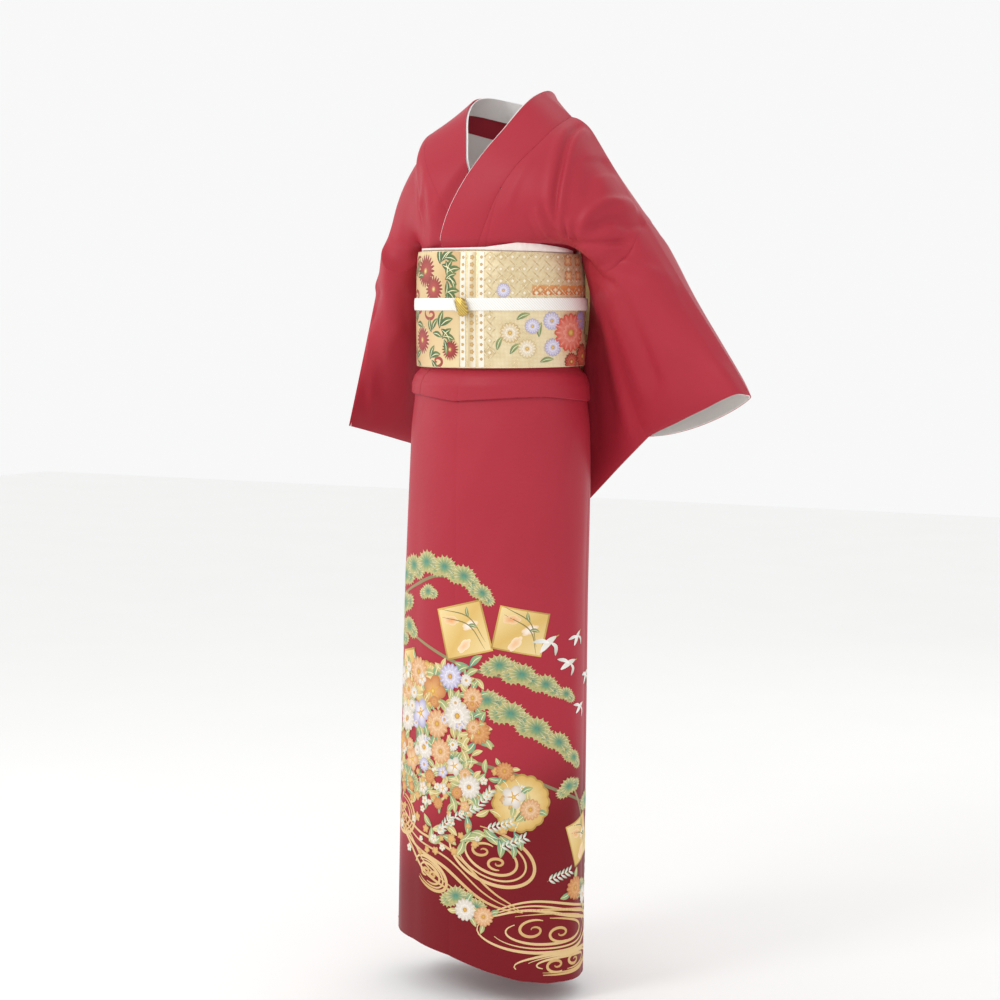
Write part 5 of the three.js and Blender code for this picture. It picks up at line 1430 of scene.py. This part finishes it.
# ------------------------------------------------------------ brocade figures
# Places are mm round the sash from its left front (across the drum), and height.
RED, PALE_RED, DEEP_RED = "a8423a", "d9a184", "7f231f"
CORAL, BRICK = ("f0a592", "cf5340"), ("d8745a", DEEP_RED)
LATTICE_START, LATTICE_END, LATTICE_STEP = 174, 730, 18.0
CORD_BAND, BLOOMS = (-312, -284), (180, 340)     # the lattice leaves room for both
DARK_FLOWERS = [(44, -246, 25), (68, -274, 21), (34, -352, 22), (104, -366, 16)]
DARK_LEAVES = [(84, -232, 0.7, 30), (98, -248, 0.2, 26), (92, -226, -0.2, 26),
               (98, -276, -0.8, 26), (96, -256, -0.5, 24), (84, -330, 0.4, 28),
               (90, -346, -0.2, 24), (64, -336, 0.9, 22), (60, -378, 0.2, 24),
               (10, -380, 0.5, 22), (12, -322, 1.0, 24), (14, -250, 1.3, 24)]
SCROLLS = [(26, -304, 20, 0.5), (60, -312, 16, 2.6), (76, -384, 15, 4.0), (16, -232, 14, 1.0),
           (8, -282, 14, 5)]
BANDS = [(124, 9, "e9e2d2"), (138, 13, "c9b084"), (156, 9, "efe9dc")]
ROSETTES = [(304, -340, 30, CORAL), (270, -322, 14, LILAC), (330, -322, 15, ("b9a9d0", "8f86b8")),
            (272, -362, 14, LILAC), (196, -276, 11, LILAC), (206, -340, 16, ("f4ecda", "c6a264")),
            (232, -364, 15, ("f6efe0", "cdb07a")), (240, -330, 12, LILAC),
            (336, -376, 20, BRICK), (306, -384, 14, BRICK)]
ROSETTE_LEAVES = [(206, -372, 0.8), (250, -346, 1.4), (318, -366, 0.2), (252, -384, 0.2),
                  (216, -320, 0.4), (186, -366, 1.2), (346, -344, 1.2)]
DRUM_FLOWERS = [(-40, -262, 34), (36, -318, 30), (-66, -338, 20), (78, -244, 20)]


def dark_flower(x, z, size):
    """A chrysanthemum of twenty dark-red petals in a gold outline."""
    return [disc((x, z), size * 1.12, "5d2a20", "d8bd86", 20, 0.1, 2, rings=6),
            disc((x, z), size, PALE_RED, "e3bd98", 20, 0.12, 3, rings=6),
            *(stroke(ray((x, z), size, turn, (0.2, 0.6, 1.0)), size * 0.21, RED, DEEP_RED, 4, 6,
                     0.45) for turn in around(20)),
            disc((x, z), size * 0.2, "eccd84", "a06a30", 8, 0.15, 5, rings=2)]


def lattice():
    """Diamonds with a small rosette in each, except under the cord and the large flowers."""
    made = []
    half = LATTICE_STEP / 2
    for x in np.arange(LATTICE_START, LATTICE_END, LATTICE_STEP):
        for z in np.arange(-226, -388, -LATTICE_STEP):
            if CORD_BAND[0] < z < CORD_BAND[1] or (z < CORD_BAND[0] and BLOOMS[0] < x < BLOOMS[1]):
                continue
            diamond = [[x, z - half], [x + half, z], [x, z + half], [x - half, z]]
            for a, b in zip(diamond, diamond[1:] + diamond[:1]):
                made.append(stroke([a, b], 2.0, "eadcb8", "bb9a62", 3, 5, 0.2))
            made.append(disc((x, z), 3.6, "f8f0da", "cdb07a", 4, 0.3, 3, rings=2))
    return made


def sash_figures():
    """Chrysanthemums and leaves on a tan ground on the left, upright bands, then a pale
    lattice with an orange band and rosettes, and the lattice again round the back."""
    made = [upright(1, 122, -217, -396, "cfa878", "e6cfa0", 0.2, 60, 30)]
    for flower in DARK_FLOWERS:
        made += dark_flower(*flower)
    for x, z, turn, length in DARK_LEAVES:
        for shift in (0, -1.2, 0.9):
            made += leaf((x - 2 * shift, z - 4 * abs(shift)), turn + shift, length, length * 0.4,
                         "2b5236", "6b7b44", 5 + abs(shift) * 0.4)
    for x, z, size, turn in SCROLLS:
        made.append(curl((x, z), size, turn, 1, 5, 3.5, 1.1, "8c3a2c", RED))
    made += current([[4, -220], [14, -270], [4, -330], [18, -392]], 3, 8, 3, 2)
    for x, wide, colour in BANDS:
        made.append(upright(x, x + wide, -218, -392, colour, "f3ecd8", 1, 6, 30))
        for z in np.arange(-226, -390, -11.0):
            made += plum((x + wide / 2, float(z)), wide * 0.3, "c9a878", "b08a50", 3)
    made += lattice()
    made.append(upright(240, LATTICE_END, -268, -283, "c4662f", "d99a5c", 3, 160, 4))
    made += [disc((x, -275.5), 5.5, "f0d9a8", "b0562a", 4, 0.4, 4, rings=2)
             for x in np.arange(252, LATTICE_END, 24.0)]
    made += [disc((x, z), 9, "e9cf9e", "c0662f", 4, 0.5, 4, 0.785, rings=3)
             for x in (300, 322) for z in (-232, -254)]
    for x, z, size, tone in ROSETTES:
        made += chrysanthemum((x, z), size, *tone, "e8c878", 4 + size * 0.05, 16)
    for x, z, turn in ROSETTE_LEAVES:
        made += leaf((x, z), turn, 22, 8, "5d7a52", "98a069", 3.5)
    return made


def drum_figures():
    """Two large rosettes and two small ones with leaves, and small diamonds, on the drum."""
    made = []
    for x, z, size in DRUM_FLOWERS:
        made += chrysanthemum((x, z), size, "d98a72", "b4483f", "e4c27a", 3, 18)
        for k in range(4):
            turn = k * 1.6 + x * 0.01
            made += leaf(ray((x, z), size, turn, (0.9,))[0], turn, size, size * 0.4, "2f5a3c",
                         "7a8148", 2)
    return made + [disc((x, z), 3.6, "f6ecd0", "b8924a", 4, 0.35, 1, rings=2)
                   for x in np.arange(-132, 134, 24.0) for z in np.arange(-222, -372, -24.0)]


HEM_LIMITS = 1.0, 836.0
painting("hem_pine_painting", hem_pines(), skirt_face, PAINTED, HEM_LIMITS)
painting("hem_flower_painting", hem_flowers(), skirt_face, PAINTED, HEM_LIMITS)
painting("sash_figures", sash_figures(), sash_face, WOVEN)
painting("drum_figures", drum_figures(), drum_face, WOVEN)


# ------------------------------------------------------------ studio
FLOOR_SIZE, FLOOR_HEIGHT = 8000.0, -1372.0
AIM = 0, 0, -0.603                               # the garment's middle, m
# Name, azimuth, elevation, distance and width in m, power in W.
LIGHTS = [("key_light", -24, 36, 2.6, 0.7, 15), ("fill_light", 60, 20, 3.2, 2.0, 1.5),
          ("rim_light", -72, 15, 2.4, 0.8, 5), ("back_light", 170, 30, 3.0, 1.8, 5)]


def aim(thing, azimuth, elevation, distance):
    """Places a light or camera on a sphere round the garment's middle, facing it."""
    a, e = math.radians(azimuth), math.radians(elevation)
    back = np.array([math.sin(a) * math.cos(e), -math.cos(a) * math.cos(e), math.sin(e)])
    thing.location = AIM + back * distance
    thing.rotation_euler = (math.pi / 2 - e, 0, a)
    bpy.context.scene.collection.objects.link(thing)


def studio():
    """A pale floor, broad soft lights and the camera."""
    scene = bpy.context.scene
    line = np.linspace(-FLOOR_SIZE, FLOOR_SIZE, 3)
    x, y = np.meshgrid(line, line)
    vertices = np.stack([x, y, np.full_like(x, FLOOR_HEIGHT)], -1).reshape(-1, 3)
    faces = cells(np.arange(x.size).reshape(x.shape)).reshape(-1, 4)
    material, tree, coords = new_material("pale_studio_paper")
    grain = noise(tree, coords.outputs["Object"], 3.0)
    finish_material(tree, {"Base Color": mixed(tree, grain, linear("fbfbfa"), linear("f8f8f7")),
                           "Roughness": 0.9})
    mesh = bpy.data.meshes.new("floor")
    mesh.from_pydata((vertices * 0.001).tolist(), [], faces.tolist())
    mesh.materials.append(material)
    floor = bpy.data.objects.new("floor", mesh)
    scene.collection.objects.link(floor)

    scene.world = scene.world or bpy.data.worlds.new("studio")
    scene.world.use_nodes = True
    background = scene.world.node_tree.nodes.get("Background")
    background.inputs["Color"].default_value = linear("ffffff")
    background.inputs["Strength"].default_value = 0.94
    scene.view_settings.view_transform = "Standard"
    for name, azimuth, elevation, distance, width, power in LIGHTS:
        data = bpy.data.lights.new(name, "AREA")
        data.shape, data.size, data.size_y, data.energy = "RECTANGLE", width, width * 1.4, power
        aim(bpy.data.objects.new(name, data), azimuth, elevation, distance)
    data = bpy.data.cameras.new("camera")
    data.lens, data.sensor_width = 80.3, 36.0
    scene.camera = bpy.data.objects.new("camera", data)
    aim(scene.camera, 30, 5, 3.5)


studio()
